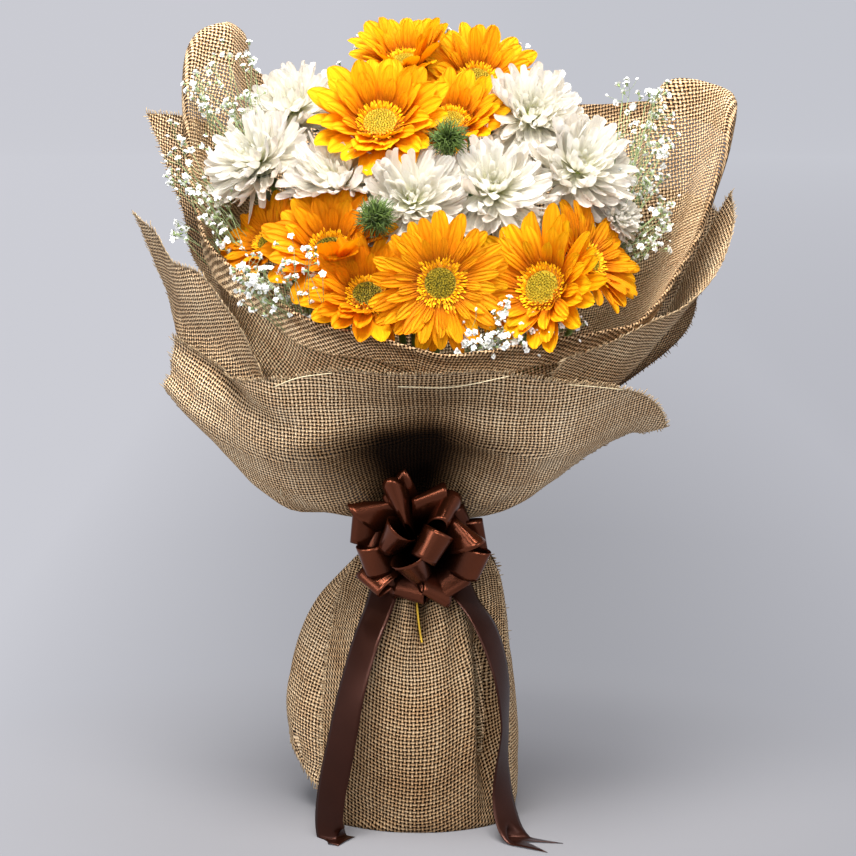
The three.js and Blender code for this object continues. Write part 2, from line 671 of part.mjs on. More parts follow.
// Thin twigs that leave the stem's last stretch one above another, to florets spread through
// the spray's room.
function sprayTwigs(spray, stations, random) {
  const [low, high] = [stations.at(-2)[0], stations.at(-1)[0]];
  const twigs = [];
  for (let k = 0; k < FLORETS; k += 1) {
    const from = low.clone().lerp(high, lerp(...TWIGS_LEAVE, k / (FLORETS - 1)));
    for (let attempt = 0; attempt < TRIES; attempt += 1) {
      const offset = spray.spread.map((reach) => reach * (2 * random() - 1));
      const end = vector(spray.at).add(vector(offset));
      const along = end.clone().sub(from).normalize();
      const at = (back) => end.clone().addScaledVector(along, -back);
      const points = [from, at(1.6 * FLORET_RADIUS), at(0.6 * FLORET_RADIUS), end];
      const radii = [TWIG_RADIUS, TWIG_RADIUS * 0.8, FLORET_RADIUS, FLORET_RADIUS * 0.6];
      const twig = solidOf(tube(points, radii, 3));
      if (end.distanceTo(from) > 4 * FLORET_RADIUS && isClear(twig, spray.name)) {
        twigs.push(place(twig, spray.name));
        break;
      }
    }
  }
  return twigs;
}

// ---------------------------------------------------------------- ribbon
const RING_SIDES = 20;
const TIE_HEIGHT = 8;
const BAND_HEIGHT = 15;
const KNOT_RADIUS = 12;
const BAND_RADIUS = INNER_NECK + (SHEETS.length - 1) * CLOTH_LAYER + CLOTH / 2 + SEAT;
const BOW_CENTRE = [2, -(BAND_RADIUS + RIBBON + 2 * SEAT + KNOT_RADIUS), NECK_Z];
const BOW_RINGS = [
  { count: 7, tilt: 60, length: 60, offset: 0.25 },
  { count: 3, tilt: 26, length: 54, offset: 0.1 },
];
// One loop's side view: along it and half its height, as shares of its length.
const LOOP_PROFILE = [[0.06, 0.03], [0.66, 0.2], [1, 0.1]];
const LOOP_GAP = 0.4; // half the least gap between a loop's two sides
const PINCH = 0.15; // a loop's width at its root, as a share
const PINCHED_SHARE = 0.75; // how far along it the loop widens

function loopSolid(length) {
  const outline = (inset) => {
    const half = LOOP_PROFILE.map(([x, y], i) => [
      x * length + (i ? -inset : 2 * inset),
      Math.max(y * length - inset, LOOP_GAP),
    ]);
    return [...half.map(([x, y]) => [x, -y]), ...half.toReversed()];
  };
  const path = (points) => points.map(([x, y]) => new THREE.Vector2(x, y));
  const shape = new THREE.Shape(path(outline(0)));
  shape.holes.push(new THREE.Path(path(outline(RIBBON))));
  const geometry = new THREE.ExtrudeGeometry(shape, { depth: RIBBON_WIDTH, bevelEnabled: false });
  geometry.translate(0, 0, -RIBBON_WIDTH / 2).rotateX(Math.PI / 2);
  // The ribbon is pinched where it meets the knot.
  const { position } = geometry.attributes;
  for (let i = 0; i < position.count; i += 1) {
    const spread = Math.min(PINCH + position.getX(i) / (PINCHED_SHARE * length), 1);
    position.setY(i, position.getY(i) * spread);
  }
  return solidOf(geometry);
}

function addBow() {
  const knot = solidOf(new THREE.SphereGeometry(KNOT_RADIUS, 8, 5));
  const loops = [knot];
  for (const { count, tilt, length, offset } of BOW_RINGS) {
    for (let k = 0; k < count; k += 1) {
      // +Z is the way the bow faces; a loop along +X is tipped up to it and turned round it.
      const matrix = new THREE.Matrix4()
        .makeRotationZ(2 * Math.PI * ((k + offset) / count))
        .multiply(new THREE.Matrix4().makeRotationY(-rad(90 - tilt)));
      loops.push(loopSolid(length).transform(matrix.elements));
    }
  }
  const matrix = headMatrix({ at: BOW_CENTRE, faces: [0, 0] });
  const bow = wholeOf(fuse(loops));
  place(bow.transform(matrix.elements), "ribbon_bow");
  addMesh("ribbon_bow", bow, SATIN, matrix);
}

// A ring whose flats, not its corners, lie at the inner radius.
function ringSolid(inner, thickness, height) {
  const flats = 1 / Math.cos(Math.PI / RING_SIDES);
  const [a, b, h] = [inner * flats, (inner + thickness) * flats, height / 2];
  const profile = [[a, -h], [b, -h], [b, h], [a, h], [a, -h]];
  const outline = profile.map(([x, y]) => new THREE.Vector2(x, y));
  return solidOf(new THREE.LatheGeometry(outline, RING_SIDES).rotateX(Math.PI / 2));
}

// Ribbon tails: stations of [centre, angle that the ribbon's width runs at, tip up of width].
const TAILS = {
  ribbon_tail_left: [
    [[-14.4, -30.8, 209.4], -25, 0],
    [[-20.8, -44.6, 195], -26, 6],
    [[-27, -56, 172], -28, 10],
    [[-38, -76, 146], -30, 8],
    [[-48, -88, 112], -30, 6],
    [[-56, -92, 72], -32, 4],
    [[-63, -94, 36], -30, 2],
    [[-66, -96, 10], -26, 0],
    [[-62, -102, 1], -20, 0],
    [[-53, -110, 0.4], -8, 0],
  ],
  ribbon_tail_right: [
    [[14.4, -30.8, 209.4], 25, 0],
    [[22.8, -43.6, 196], 28, -6],
    [[34, -52, 176], 34, -8],
    [[50, -66, 154], 46, -8],
    [[61, -72, 120], 64, -8],
    [[64, -72, 84], 72, -4],
    [[62, -72, 50], 64, 0],
    [[64, -80, 20], 50, 0],
    [[74, -92, 1.4], 38, 0],
    [[100, -108, 0.4], 30, 0],
  ],
};

// A flat strip through the stations: width along the given angle, thickness across the strip.
function tailSolid(stations) {
  const points = [];
  stations.forEach(([centre, angle, tip], i) => {
    const before = vector(stations[Math.max(i - 1, 0)][0]);
    const after = vector(stations[Math.min(i + 1, stations.length - 1)][0]);
    const along = after.sub(before).normalize();
    const width = direction([angle + 90, tip]);
    width.addScaledVector(along, -width.dot(along)).normalize();
    const normal = along.clone().cross(width);
    for (const [w, n] of [[-1, -1], [1, -1], [1, 1], [-1, 1]]) {
      const p = vector(centre)
        .addScaledVector(width, (w * RIBBON_WIDTH) / 2)
        .addScaledVector(normal, (n * RIBBON) / 2);
      p.z = Math.max(p.z, n > 0 === normal.z > 0 ? RIBBON : 0);
      points.push(p);
    }
  });
  const faces = [[0, 2, 1], [0, 3, 2]];
  const end = points.length - 4;
  for (let i = 0; i < end; i += 4) {
    for (let k = 0; k < 4; k += 1) {
      const [a, b] = [i + k, i + ((k + 1) % 4)];
      faces.push([a, b, b + 4], [a, b + 4, a + 4]);
    }
  }
  faces.push([end, end + 1, end + 2], [end, end + 2, end + 3]);
  return solidOf(geometryFrom(points, faces));
}

// ---------------------------------------------------------------- assembly
addSheets();

function addRing(name, solid, look) {
  const matrix = new THREE.Matrix4().makeTranslation(0, 0, NECK_Z);
  place(solid.transform(matrix.elements), name);
  addMesh(name, solid, look, matrix);
}

addRing("stem_tie", ringSolid(STEM_BUNDLE, TWINE_WIDTH, TIE_HEIGHT), TWINE);
addRing("ribbon_band", ringSolid(BAND_RADIUS, RIBBON, BAND_HEIGHT), SATIN);
addBow();
for (const [name, stations] of Object.entries(TAILS)) {
  addMesh(name, place(tailSolid(stations), name), SATIN);
}

// Every stem first, then every core, so that petals, leaves and twigs can bend clear of them.
const blooms = [
  ...GERBERAS.map((head) => ({ ...head, ...GERBERA })),
  ...CHRYSANTHEMUMS.map((head) => {
    const calyx = CHRYSANTHEMUM.calyx.map((x) => x * Math.sqrt(head.size));
    return { ...head, ...CHRYSANTHEMUM, calyx };
  }),
];
const heads = [...blooms, ...FERN_TIPS, ...SPRAYS];
const tops = heads.map(stemTop);
const slots = assignSlots(tops.map(({ lean }) => lean));
const stems = heads.map((head, i) => {
  const stations = stemStations(tops[i], slots[i], head.calyx);
  const owner = head.calyx ? `${head.name}_stem` : head.name;
  return { head, stations, owner, solid: place(stemSolid(stations), owner) };
});
const cores = blooms.map((bloom) => {
  const solid = coreSolid(bloom);
  place(solid.transform(headMatrix(bloom).elements), bloom.name);
  return solid;
});
const fernTips = new Map(FERN_TIPS.map((head) => [head, fernTip(head)]));
blooms.forEach((bloom, i) => {
  const matrix = headMatrix(bloom);
  const whole = wholeOf(fuse([cores[i], ...petalsOf(bloom, matrix)]));
  addMesh(bloom.name, whole, bloom.look, matrix);
});

stems.forEach(({ head, stations, owner, solid }, i) => {
  if (head.spread) {
    const twigs = sprayTwigs(head, stations, seededRandom(FIRST_SEED + i));
    addMesh(owner, wholeOf(fuse([solid, ...twigs])), WHITE_PETAL);
  } else if (fernTips.has(head)) {
    addMesh(owner, fuse([solid, fernTips.get(head)]), GREEN_LEAF);
  } else if (head.leafy) {
    addMesh(owner, wholeOf(fuse([solid, ...leafOn(stations, owner)])), GREEN_LEAF);
  } else {
    addMesh(owner, solid, GREEN_STEM);
  }
});

// The origin is on the floor under the middle of the whole bunch.
const box = new THREE.Box3().setFromObject(bouquet);
const middle = box.getCenter(new THREE.Vector3());
bouquet.position.set(-middle.x, -middle.y, 0);

export default bouquet;
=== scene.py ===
# A hand-tied bunch of daisies: yellow gerberas and white chrysanthemum daisies with baby's
# breath and fern tips, wrapped in five sheets of burlap and tied with a brown satin ribbon.
# Tables and sizes are in millimetres round the upright axis through the binding, and Shape
# turns them into metres in the frame. Angles round that axis are in degrees: 0 is the front
# (-Y) and 90 is the right (+X).
import math

import bpy
import numpy as np
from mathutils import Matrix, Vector
from mathutils.bvhtree import BVHTree


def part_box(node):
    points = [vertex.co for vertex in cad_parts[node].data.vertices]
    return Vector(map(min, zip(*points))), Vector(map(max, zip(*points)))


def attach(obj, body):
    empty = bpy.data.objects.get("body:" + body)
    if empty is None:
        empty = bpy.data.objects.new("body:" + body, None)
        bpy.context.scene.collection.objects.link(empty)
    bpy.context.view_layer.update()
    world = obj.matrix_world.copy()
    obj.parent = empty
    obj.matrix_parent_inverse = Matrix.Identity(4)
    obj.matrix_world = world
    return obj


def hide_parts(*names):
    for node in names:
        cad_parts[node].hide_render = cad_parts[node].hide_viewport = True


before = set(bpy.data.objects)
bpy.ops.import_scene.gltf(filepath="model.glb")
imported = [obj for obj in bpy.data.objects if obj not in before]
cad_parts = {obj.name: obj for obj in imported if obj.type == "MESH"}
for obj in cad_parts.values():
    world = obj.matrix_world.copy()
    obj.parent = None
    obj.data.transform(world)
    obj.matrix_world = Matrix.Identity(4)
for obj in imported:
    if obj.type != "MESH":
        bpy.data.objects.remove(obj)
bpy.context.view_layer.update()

MM = 0.001
TIE_LOW, TIE_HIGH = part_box("stem_tie")
AXIS = np.array([(TIE_LOW.x + TIE_HIGH.x) / 2, (TIE_LOW.y + TIE_HIGH.y) / 2, 0.0])

# ---------------------------------------------------------------- sizes, as in the part
NECK_Z = 215  # height of the binding
STEM_PITCH = 6.3  # between the middles of two stems in the binding
FOOT_SPREAD = 1.9  # how many times wider the stems stand on the floor
CLOTH = 1.0  # thickness
CLOTH_LAYER = 2  # from one sheet to the next in the binding
RIBBON = 0.8
SEAT = 0.3  # the gap where one thing sits against another
STEM_BUNDLE = 3 * STEM_PITCH + 1
TWINE_WIDTH = 2
INNER_NECK = STEM_BUNDLE + TWINE_WIDTH + 2 * SEAT + CLOTH / 2
HEM = 0.3  # height of what lies on the floor

# Each bloom: its centre, where it faces (angle round, degrees up), its size as a share, how
# much its petals cup, how yellow they are, from orange at 0, and how broad.
GERBERAS = {
    "gerbera_front": ([16, -122, 413], [2, 12], 1.0, 0, 0.45, 1.0),
    "gerbera_front_left": ([-35, -104, 403], [-2, 42], 0.95, 24, 0.3, 1.35),
    "gerbera_left": ([-62, -80, 432], [-8, 44], 1.02, 26, 0.25, 1.45),
    "gerbera_far_left": ([-108, -44, 436], [-52, 42], 0.8, 18, 0.3, 1.2),
    "gerbera_front_right": ([88, -106, 408], [-30, 26], 1.14, 26, 0.75, 1.15),
    "gerbera_far_right": ([122, -62, 424], [52, 34], 0.92, 14, 0.45, 1.2),
    "gerbera_upper_left": ([-27, -26, 520], [-6, 40], 1.1, 30, 0.9, 1.5),
    "gerbera_upper_right": ([24, 2, 520], [-2, 52], 0.95, 32, 0.85, 1.45),
    "gerbera_top_right": ([45, 46, 549], [14, 40], 0.98, 24, 0.75, 1.3),
    "gerbera_top_left": ([-9, 46, 563], [-6, 60], 0.92, 34, 0.8, 1.3),
}
CHRYSANTHEMUMS = {
    "chrysanthemum_left": ([-117, -18, 492], [-42, 40], 1.08),
    "chrysanthemum_upper_left": ([-92, 26, 528], [-24, 50], 1.05),
    "chrysanthemum_centre_left": ([-56, -46, 480], [-8, 58], 1.1),
    "chrysanthemum_centre": ([-4, -68, 466], [0, 26], 1.05),
    "chrysanthemum_centre_right": ([54, -52, 472], [8, 44], 1.12),
    "chrysanthemum_upper_right": ([83, 4, 523], [10, 36], 1.08),
    "chrysanthemum_right": ([116, -22, 486], [22, 32], 1.12),
    "chrysanthemum_small": ([146, -28, 452], [40, 30], 0.5),
}
FERN_TIPS = {
    "fern_tip_lower": ([-29, -96, 456], [-4, 34]),
    "fern_tip_upper": ([22, -54, 509], [6, 38]),
}
# Sprays of baby's breath: middle, half height, and where the stem ends if not behind it.
SPRAYS = {
    "baby_breath_upper_left": ([-140, 8, 542], 34),
    "baby_breath_left": ([-138, -30, 470], 40),
    "baby_breath_front_left": ([-88, -102, 404], 20),
    "baby_breath_front_right": ([56, -124, 376], 18, [34, -72, 338]),
    "baby_breath_right": ([154, -14, 478], 52),
    "baby_breath_back": ([6, 92, 556], 26),
}
# Where each spray's flowers are, in one group or two: (middle, half spread, count).
FLOWERS = {
    "baby_breath_upper_left": [([-140, 0, 541], [22, 16, 26], 28)],
    "baby_breath_left": [
        ([-152, -34, 482], [22, 18, 46], 22),
        ([-134, -50, 440], [14, 14, 22], 9),
    ],
    "baby_breath_front_left": [
        ([-94, -104, 406], [26, 12, 20], 36),
        ([-66, -134, 430], [20, 8, 14], 5),
    ],
    "baby_breath_front_right": [
        ([56, -128, 378], [26, 9, 15], 42),
        ([92, -124, 374], [20, 8, 9], 8),
    ],
    "baby_breath_right": [([160, -20, 484], [20, 24, 58], 60)],
    "baby_breath_back": [([6, 92, 556], [70, 16, 26], 24)],
}

# Burlap sheets, as columns of (top, belly, foot, throat), each (angle, radius, height), but the
# throat is (radius, height) at the belly's angle, and may be left out. A column without a foot
# ends in the binding.
INNER_SHEET = [
    ([0, 140, 370], [0, 62, 306], None, [30, 258]),
    ([-15, 139, 377], [-15, 76, 306], None, [33, 254]),
    ([-30, 138, 387], [-30, 94, 308]),
    ([-45, 138, 398], [-45, 106, 316]),
    ([-60, 144, 416], [-60, 117, 326]),
    ([-75, 157, 442], [-75, 126, 340]),
    ([-90, 170, 490], [-90, 134, 360]),
    ([-99, 173, 570], [-98, 139, 380]),
    ([-110, 166, 584], [-108, 141, 396]),
    ([-119, 155, 580], [-118, 139, 396]),
    ([-126, 154, 556], [-126, 136, 390]),
    ([-134, 156, 547], [-134, 133, 387]),
    ([-148, 149, 543], [-148, 127, 382]),
    ([-164, 143, 538], [-164, 122, 378]),
    ([-180, 140, 534], [-180, 120, 375]),
    ([-197, 144, 531], [-197, 122, 375]),
    ([-213, 151, 530], [-213, 126, 375]),
    ([-229, 163, 529], [-229, 132, 375]),
    ([-247, 192, 532], [-246, 143, 375]),
    ([-261, 219, 541], [-260, 152, 378]),
    ([-271, 227, 524], [-271, 152, 368]),
    ([-281, 208, 448], [-281, 146, 350]),
    ([-297, 186, 390], [-297, 134, 326]),
    ([-313, 170, 379], [-313, 117, 314]),
    ([-329, 157, 372], [-329, 96, 307]),
    ([-345, 147, 370], [-345, 76, 305], None, [33, 254]),
]
RIGHT_SHEET = [
    ([94, 236, 466], [94, 170, 365], [134, 70, 1]),
    ([84, 230, 440], [84, 163, 350], [107, 74, 1]),
    ([70, 208, 398], [70, 155, 332], [87, 74, 1]),
    ([52, 188, 374], [52, 140, 318], [66, 71, 1]),
    ([36, 174, 364], [36, 118, 312], [46, 64, 1]),
]
BACK_SHEET = [
    ([-101, 205, 526], [-104, 162, 392], [-124, 80, HEM]),
    ([-113, 192, 520], [-115, 160, 385], [-137, 80, HEM]),
    ([-131, 184, 500], [-131, 155, 372], [-151, 80, HEM]),
    ([-155, 174, 482], [-155, 148, 360], [-166, 80, HEM]),
    ([-180, 168, 472], [-180, 144, 355], [-180, 80, HEM]),
    ([-205, 174, 470], [-205, 148, 358], [-194, 80, HEM]),
    ([-229, 192, 466], [-229, 158, 360], [-208, 80, HEM]),
    ([-248, 222, 462], [-250, 176, 364], [-221, 80, HEM]),
    ([-261, 236, 446], [-271, 184, 352], [-234, 80, HEM]),
]
LEFT_SHEET = [
    ([-93, 215, 451], [-98, 172, 350], [-132, 92, 22]),
    ([-86, 196, 437], [-87, 164, 342], [-112, 97, 50]),
    ([-80, 181, 421], [-78, 155, 333], [-98, 101, 55]),
    ([-70, 163, 414], [-67, 145, 323], [-82, 86, 30]),
    ([-60, 156, 390], [-59, 136, 316], [-70, 74, 17]),
    ([-48, 153, 354], [-50, 128, 310], [-56, 62, 4]),
]
FRONT_SHEET = [
    ([-79, 184, 366], [-84, 184, 316], [-62, 81, HEM], [98, 244]),
    ([-62, 168, 344], [-66, 154, 290], [-47, 77, HEM], [106, 243]),
    ([-40, 164, 347], [-42, 137, 284], [-31, 74, HEM], [88, 242]),
    ([-18, 164, 354], [-18, 116, 294], [-16, 73, HEM], [47, 252]),
    ([4, 165, 356], [3, 98, 299], [-1, 72, HEM], [38, 258]),
    ([24, 169, 353], [22, 119, 295], [13, 73, HEM], [48, 252]),
    ([46, 182, 341], [43, 135, 286], [27, 74, HEM], [76, 240]),
    ([66, 187, 322], [62, 143, 287], [41, 76, HEM], [80, 240]),
    ([78, 186, 301], [76, 152, 290], [58, 78, HEM], [76, 239]),
]
THROAT = [15, 250]  # beyond the neck's radius, and its height
NECK_HALF = 10
SHOULDER = [1.38, 19, 4]  # the cloth's bulge below the neck: all round, right and left
SHOULDER_DROP = 27
OVERLIE = [0.3, 0.9]  # how much higher the outer sheets lie, at the neck and below it
WAIST_DROP = 65
FLANK_Z = 96
TUCK = 24  # how far a hem is tucked in under the bunch

YARN_PITCH = 2.75  # from one burlap yarn to the next
CLOTH_STEP = 5.0  # between points of the cloth meshes
HEM_DEPTH = 22  # the inner sheet's top edge is folded back this far
HEM_ROUND = 1.6  # and round this radius, but for its rolled corners
FOOT_LENGTH = 260  # from the binding to the floor, along the cloth
FLAT_ROWS = 30  # of the coarse grid that settles flat
SETTLING_PASSES = 1200


# ---------------------------------------------------------------- points and shapes
GOLDEN_ANGLE = math.pi * (3 - math.sqrt(5))


def polar(values):
    """Points at (angle, radius, height)."""
    values = np.asarray(values, float)
    angle, r = np.radians(values[..., 0]), values[..., 1]
    return np.stack([r * np.sin(angle), -r * np.cos(angle), values[..., 2]], -1)


def angle_of(points):
    """The points' angles round the upright axis."""
    return np.degrees(np.arctan2(points[..., 0], -points[..., 1]))


def direction(angle, elevation):
    rise = math.radians(elevation)
    return polar([angle, math.cos(rise), math.sin(rise)])


def unit(v):
    return v / np.maximum(np.linalg.norm(v, axis=-1, keepdims=True), 1e-9)


def column(low, high, count):
    """Even numbers, one to each row of a grid."""
    return np.linspace(low, high, count)[:, None]


def grid_of(*coordinates):
    """Points from coordinates that may each be a row, a column or a whole grid."""
    return np.stack(np.broadcast_arrays(*coordinates), -1)


def steps(points, axis=0):
    """The distances between neighbours along an axis of the points."""
    return np.linalg.norm(np.diff(points, axis=axis), axis=-1)


def running(values):
    """The running total of the values along their first axis, from 0."""
    return np.cumsum(np.concatenate([0 * values[:1], values]), 0)


def spline(values, ts):
    """Catmull-Rom through values, which are one unit of t apart."""
    values, ts = np.asarray(values, float), np.asarray(ts, float)
    padded = np.concatenate([[2 * values[0] - values[1]], values, [2 * values[-1] - values[-2]]])
    i = np.clip(np.floor(ts).astype(int), 0, len(values) - 2)
    f = (ts - i).reshape((-1,) + (1,) * (values.ndim - 1))
    a, b, c, d = (padded[i + k] for k in range(4))
    return b + 0.5 * f * (c - a + f * (2 * a - 5 * b + 4 * c - d + f * (3 * (b - c) + d - a)))


def ease(low, high, x):
    """0 at low, 1 at high, and smooth between them, whichever of the two is the greater."""
    share = np.clip((x - low) / (high - low), 0, 1)
    return share * share * (3 - 2 * share)


def bump(x, middle, half):
    """A smooth bump of height 1 and the given half width."""
    return np.exp(-(((x - middle) / half) ** 2))


def turned(angle):
    """A rotation matrix round Z."""
    c, s = math.cos(angle), math.sin(angle)
    return np.array([[c, -s, 0], [s, c, 0], [0, 0, 1]])


def facing_matrix(way):
    """The shortest turn that takes +Z to way."""
    return np.array(Vector((0, 0, 1)).rotation_difference(Vector(way)).to_matrix())


def lathe(profile, sides):
    """Rings of points round +Z through (radius, height) pairs."""
    turn = np.linspace(0, 2 * np.pi, sides, endpoint=False)
    r, z = np.array(profile, float).T[..., None]
    return grid_of(r * np.cos(turn), r * np.sin(turn), z)


def spiral(count, reach):
    """(radius, x, y) of places that fill a circle evenly, as the seeds of a daisy do."""
    for k in range(count):
        radius = reach * math.sqrt((k + 0.5) / count)
        yield radius, radius * math.cos(k * GOLDEN_ANGLE), radius * math.sin(k * GOLDEN_ANGLE)


class Shape:
    """Grids of points in millimetres that become one mesh in metres."""

    def __init__(self):
        self.points, self.faces, self.uvs, self.tints, self.looks = [], [], [], [], []
        self.count = 0

    def grid(self, points, uv=None, tint=0.5, look=0, closed=False):
        """Rows of points joined by quads. A closed grid's last column meets its first."""
        rows, cols = points.shape[:2]
        if uv is None:
            uv = grid_of(column(0, 1, rows), np.linspace(0, 1, cols))
        ids = self.count + np.arange(rows * cols).reshape(rows, cols)
        if closed:
            ids = np.concatenate([ids, ids[:, :1]], 1)
        quads = np.stack([ids[:-1, :-1], ids[:-1, 1:], ids[1:, 1:], ids[1:, :-1]], -1).reshape(-1, 4)
        self.points.append(points.reshape(-1, 3))
        self.faces.append(quads)
        self.uvs.append(uv.reshape(-1, 2))
        self.tints.append(np.broadcast_to(tint, (rows, cols)).ravel())
        self.looks.append(np.full(len(quads), look))
        self.count += rows * cols

    def tube(self, points, radii, sides=5, tint=0.5, look=0):
        """A tube along the points that closes to a point at both ends."""
        points = np.asarray(points, float)
        radii = np.broadcast_to(np.asarray(radii, float), len(points))
        along = unit(np.gradient(points, axis=0))
        across = unit(np.cross(along, np.eye(3)[np.argmin(np.abs(along[0]))]))
        other = np.cross(along, across)
        turn = np.linspace(0, 2 * np.pi, sides, endpoint=False)[:, None]
        ring = across[:, None] * np.cos(turn) + other[:, None] * np.sin(turn)
        rings = points[:, None] + ring * radii[:, None, None]
        rings = np.concatenate([rings[:1] * 0 + points[0], rings, rings[-1:] * 0 + points[-1]])
        self.grid(rings, tint=tint, look=look, closed=True)

    def object(self, name, looks):
        mesh = bpy.data.meshes.new(name)
        points = np.concatenate(self.points) * MM + AXIS
        faces = np.concatenate(self.faces)
        mesh.vertices.add(len(points))
        mesh.vertices.foreach_set("co", points.ravel())
        mesh.loops.add(faces.size)
        mesh.loops.foreach_set("vertex_index", faces.ravel().astype(np.int32))
        mesh.polygons.add(len(faces))
        mesh.polygons.foreach_set("loop_start", np.arange(0, faces.size, faces.shape[1]))
        mesh.polygons.foreach_set("material_index", np.concatenate(self.looks).astype(np.int32))
        uv = mesh.uv_layers.new(name="UVMap")
        uv.data.foreach_set("uv", np.concatenate(self.uvs)[faces.ravel()].ravel())
        tint = mesh.attributes.new("tint", "FLOAT", "POINT")
        tint.data.foreach_set("value", np.concatenate(self.tints).astype(np.float32))
        mesh.update()
        mesh.validate()
        mesh.shade_smooth()
        for look in looks:
            mesh.materials.append(look)
        piece = bpy.data.objects.new(name, mesh)
        bpy.context.scene.collection.objects.link(piece)
        return piece

    def tree(self):
        faces = np.concatenate(self.faces).tolist()
        return BVHTree.FromPolygons(np.concatenate(self.points).tolist(), faces)


def finished(shape, name, looks, slot, *nodes):
    """The shape's object, riding on the part, in place of the nodes it stands for, which are hidden. The
    slot is not used.
    """
    piece = shape.object(name, looks)
    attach(piece, "root")
    if nodes:
        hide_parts(*nodes)
    return piece


# ---------------------------------------------------------------- materials
BLACK = (0.0, 0.0, 0.0)


class Wire:
    """An output in a material's node tree. Arithmetic with it adds math nodes."""

    def __init__(self, look, socket):
        self.look, self.socket = look, socket

    def __add__(self, other):
        return self.look.math("ADD", self, other)

    def __sub__(self, other):
        return self.look.math("SUBTRACT", self, other)

    def __mul__(self, other):
        return self.look.math("MULTIPLY", self, other)

    def held(self):
        """The same, held between 0 and 1."""
        self.socket.node.use_clamp = True
        return self


class Look:
    """One procedural material, built from short calls on its node tree."""

    def __init__(self, name, roughness, **sockets):
        self.material = bpy.data.materials.new(name)
        self.material.use_nodes = True
        self.tree = self.material.node_tree
        self.shader = self.tree.nodes["Principled BSDF"]
        self.set("Roughness", roughness)
        for socket, value in sockets.items():
            self.set(socket.replace("_", " "), value)

    def put(self, socket, value):
        if isinstance(value, Wire):
            self.tree.links.new(value.socket, socket)
        else:
            socket.default_value = (*value, 1) if socket.type == "RGBA" else value

    def set(self, socket, value):
        """Sets or feeds one of the shader's own sockets."""
        self.put(self.shader.inputs[socket], value)

    def node(self, kind, output=0, inputs=(), **settings):
        """One output of a new node."""
        made = self.tree.nodes.new("ShaderNode" + kind)
        for key, value in settings.items():
            setattr(made, key, value)
        for key, value in dict(inputs).items():
            self.put(made.inputs[key], value)
        return Wire(self, made.outputs[output])

    def math(self, operation, *values):
        return self.node("Math", 0, enumerate(values), operation=operation)

    def vector(self, operation, a, b):
        """A vector sum or difference, or the vector a scaled by b."""
        second = "Scale" if operation == "SCALE" else 1
        return self.node("VectorMath", 0, {0: a, second: b}, operation=operation)

    def mix(self, share, a, b, kind="RGBA", blend="MIX"):
        inputs = {"Factor": share, "A": a, "B": b}
        return self.node("Mix", "Result", inputs, data_type=kind, blend_type=blend)

    def ramp(self, share, stops):
        made = self.node("ValToRGB", 0, {0: share})
        elements = made.socket.node.color_ramp.elements
        while len(elements) < len(stops):
            elements.new(0.5)
        for element, (place, colour) in zip(elements, stops):
            element.position = place
            element.color = (*colour, 1)
        return made

    def noise(self, vector, scale, detail=2.0, output="Fac"):
        return self.node("TexNoise", output, {"Vector": vector, "Scale": scale, "Detail": detail})

    def combine(self, x, y, z=0.0):
        return self.node("CombineXYZ", 0, {"X": x, "Y": y, "Z": z})

    def split(self, vector):
        """The X, Y and Z of a vector."""
        x = self.node("SeparateXYZ", 0, {"Vector": vector})
        return [Wire(self, output) for output in x.socket.node.outputs]

    def uv(self):
        return self.node("UVMap", uv_map="UVMap")

    def place(self):
        return self.node("TexCoord", "Object")

    def tint(self):
        return self.node("Attribute", "Fac", attribute_name="tint")

    def bump(self, height, distance, strength=1.0):
        inputs = {"Height": height, "Distance": distance, "Strength": strength}
        self.set("Normal", self.node("Bump", 0, inputs))

    def translucent(self, colour, share):
        """Lets some of the light behind a thin petal shine through."""
        through = self.node("BsdfTranslucent", 0, {"Color": colour})
        both = self.node("MixShader", 0, {0: share, 1: Wire(self, self.shader.outputs[0]), 2: through})
        self.put(self.tree.nodes["Material Output"].inputs["Surface"], both)


def petal_look(name, root, middle, tips, rib_count, depth, through):
    """Ribbed petals. U runs from root to tip and V across; tips is (dull, bright) by tint."""
    look = Look(name, 0.6, Specular_IOR_Level=0.12)
    u, v, _ = look.split(look.uv())
    streaks = look.noise(look.combine(u * 2.5, v * 26), 1.0)
    along = u + (streaks - 0.5) * 0.35
    colour = look.mix((along * 2.2).held(), root, middle)
    colour = look.mix((along * 1.7 - 0.5).held(), colour, look.mix(look.tint(), *tips))
    colour = look.mix((streaks * -3.0 + 1.6).held() * 0.6, colour, middle)
    look.set("Base Color", colour)
    ribs = look.math("SINE", v * (2 * math.pi * rib_count))
    look.bump(ribs * 0.5 + streaks, depth)
    look.translucent(colour, through)
    return look.material


def plain_look(name, dark, light, scale, roughness, depth=0.0003, **sockets):
    """A mottled surface between two colours, finely bumped."""
    look = Look(name, roughness, **sockets)
    mottle = look.noise(look.place(), scale, 4.0)
    look.set("Base Color", look.mix(look.tint() * 0.6 + (mottle * 1.6 - 0.6), dark, light))
    look.bump(mottle, depth)
    return look.material


JUTE = [
    (0.25, (0.42, 0.225, 0.10)),
    (0.47, (0.83, 0.545, 0.30)),
    (0.63, (1.0, 0.745, 0.465)),
    (0.9, (1.0, 0.88, 0.66)),
]


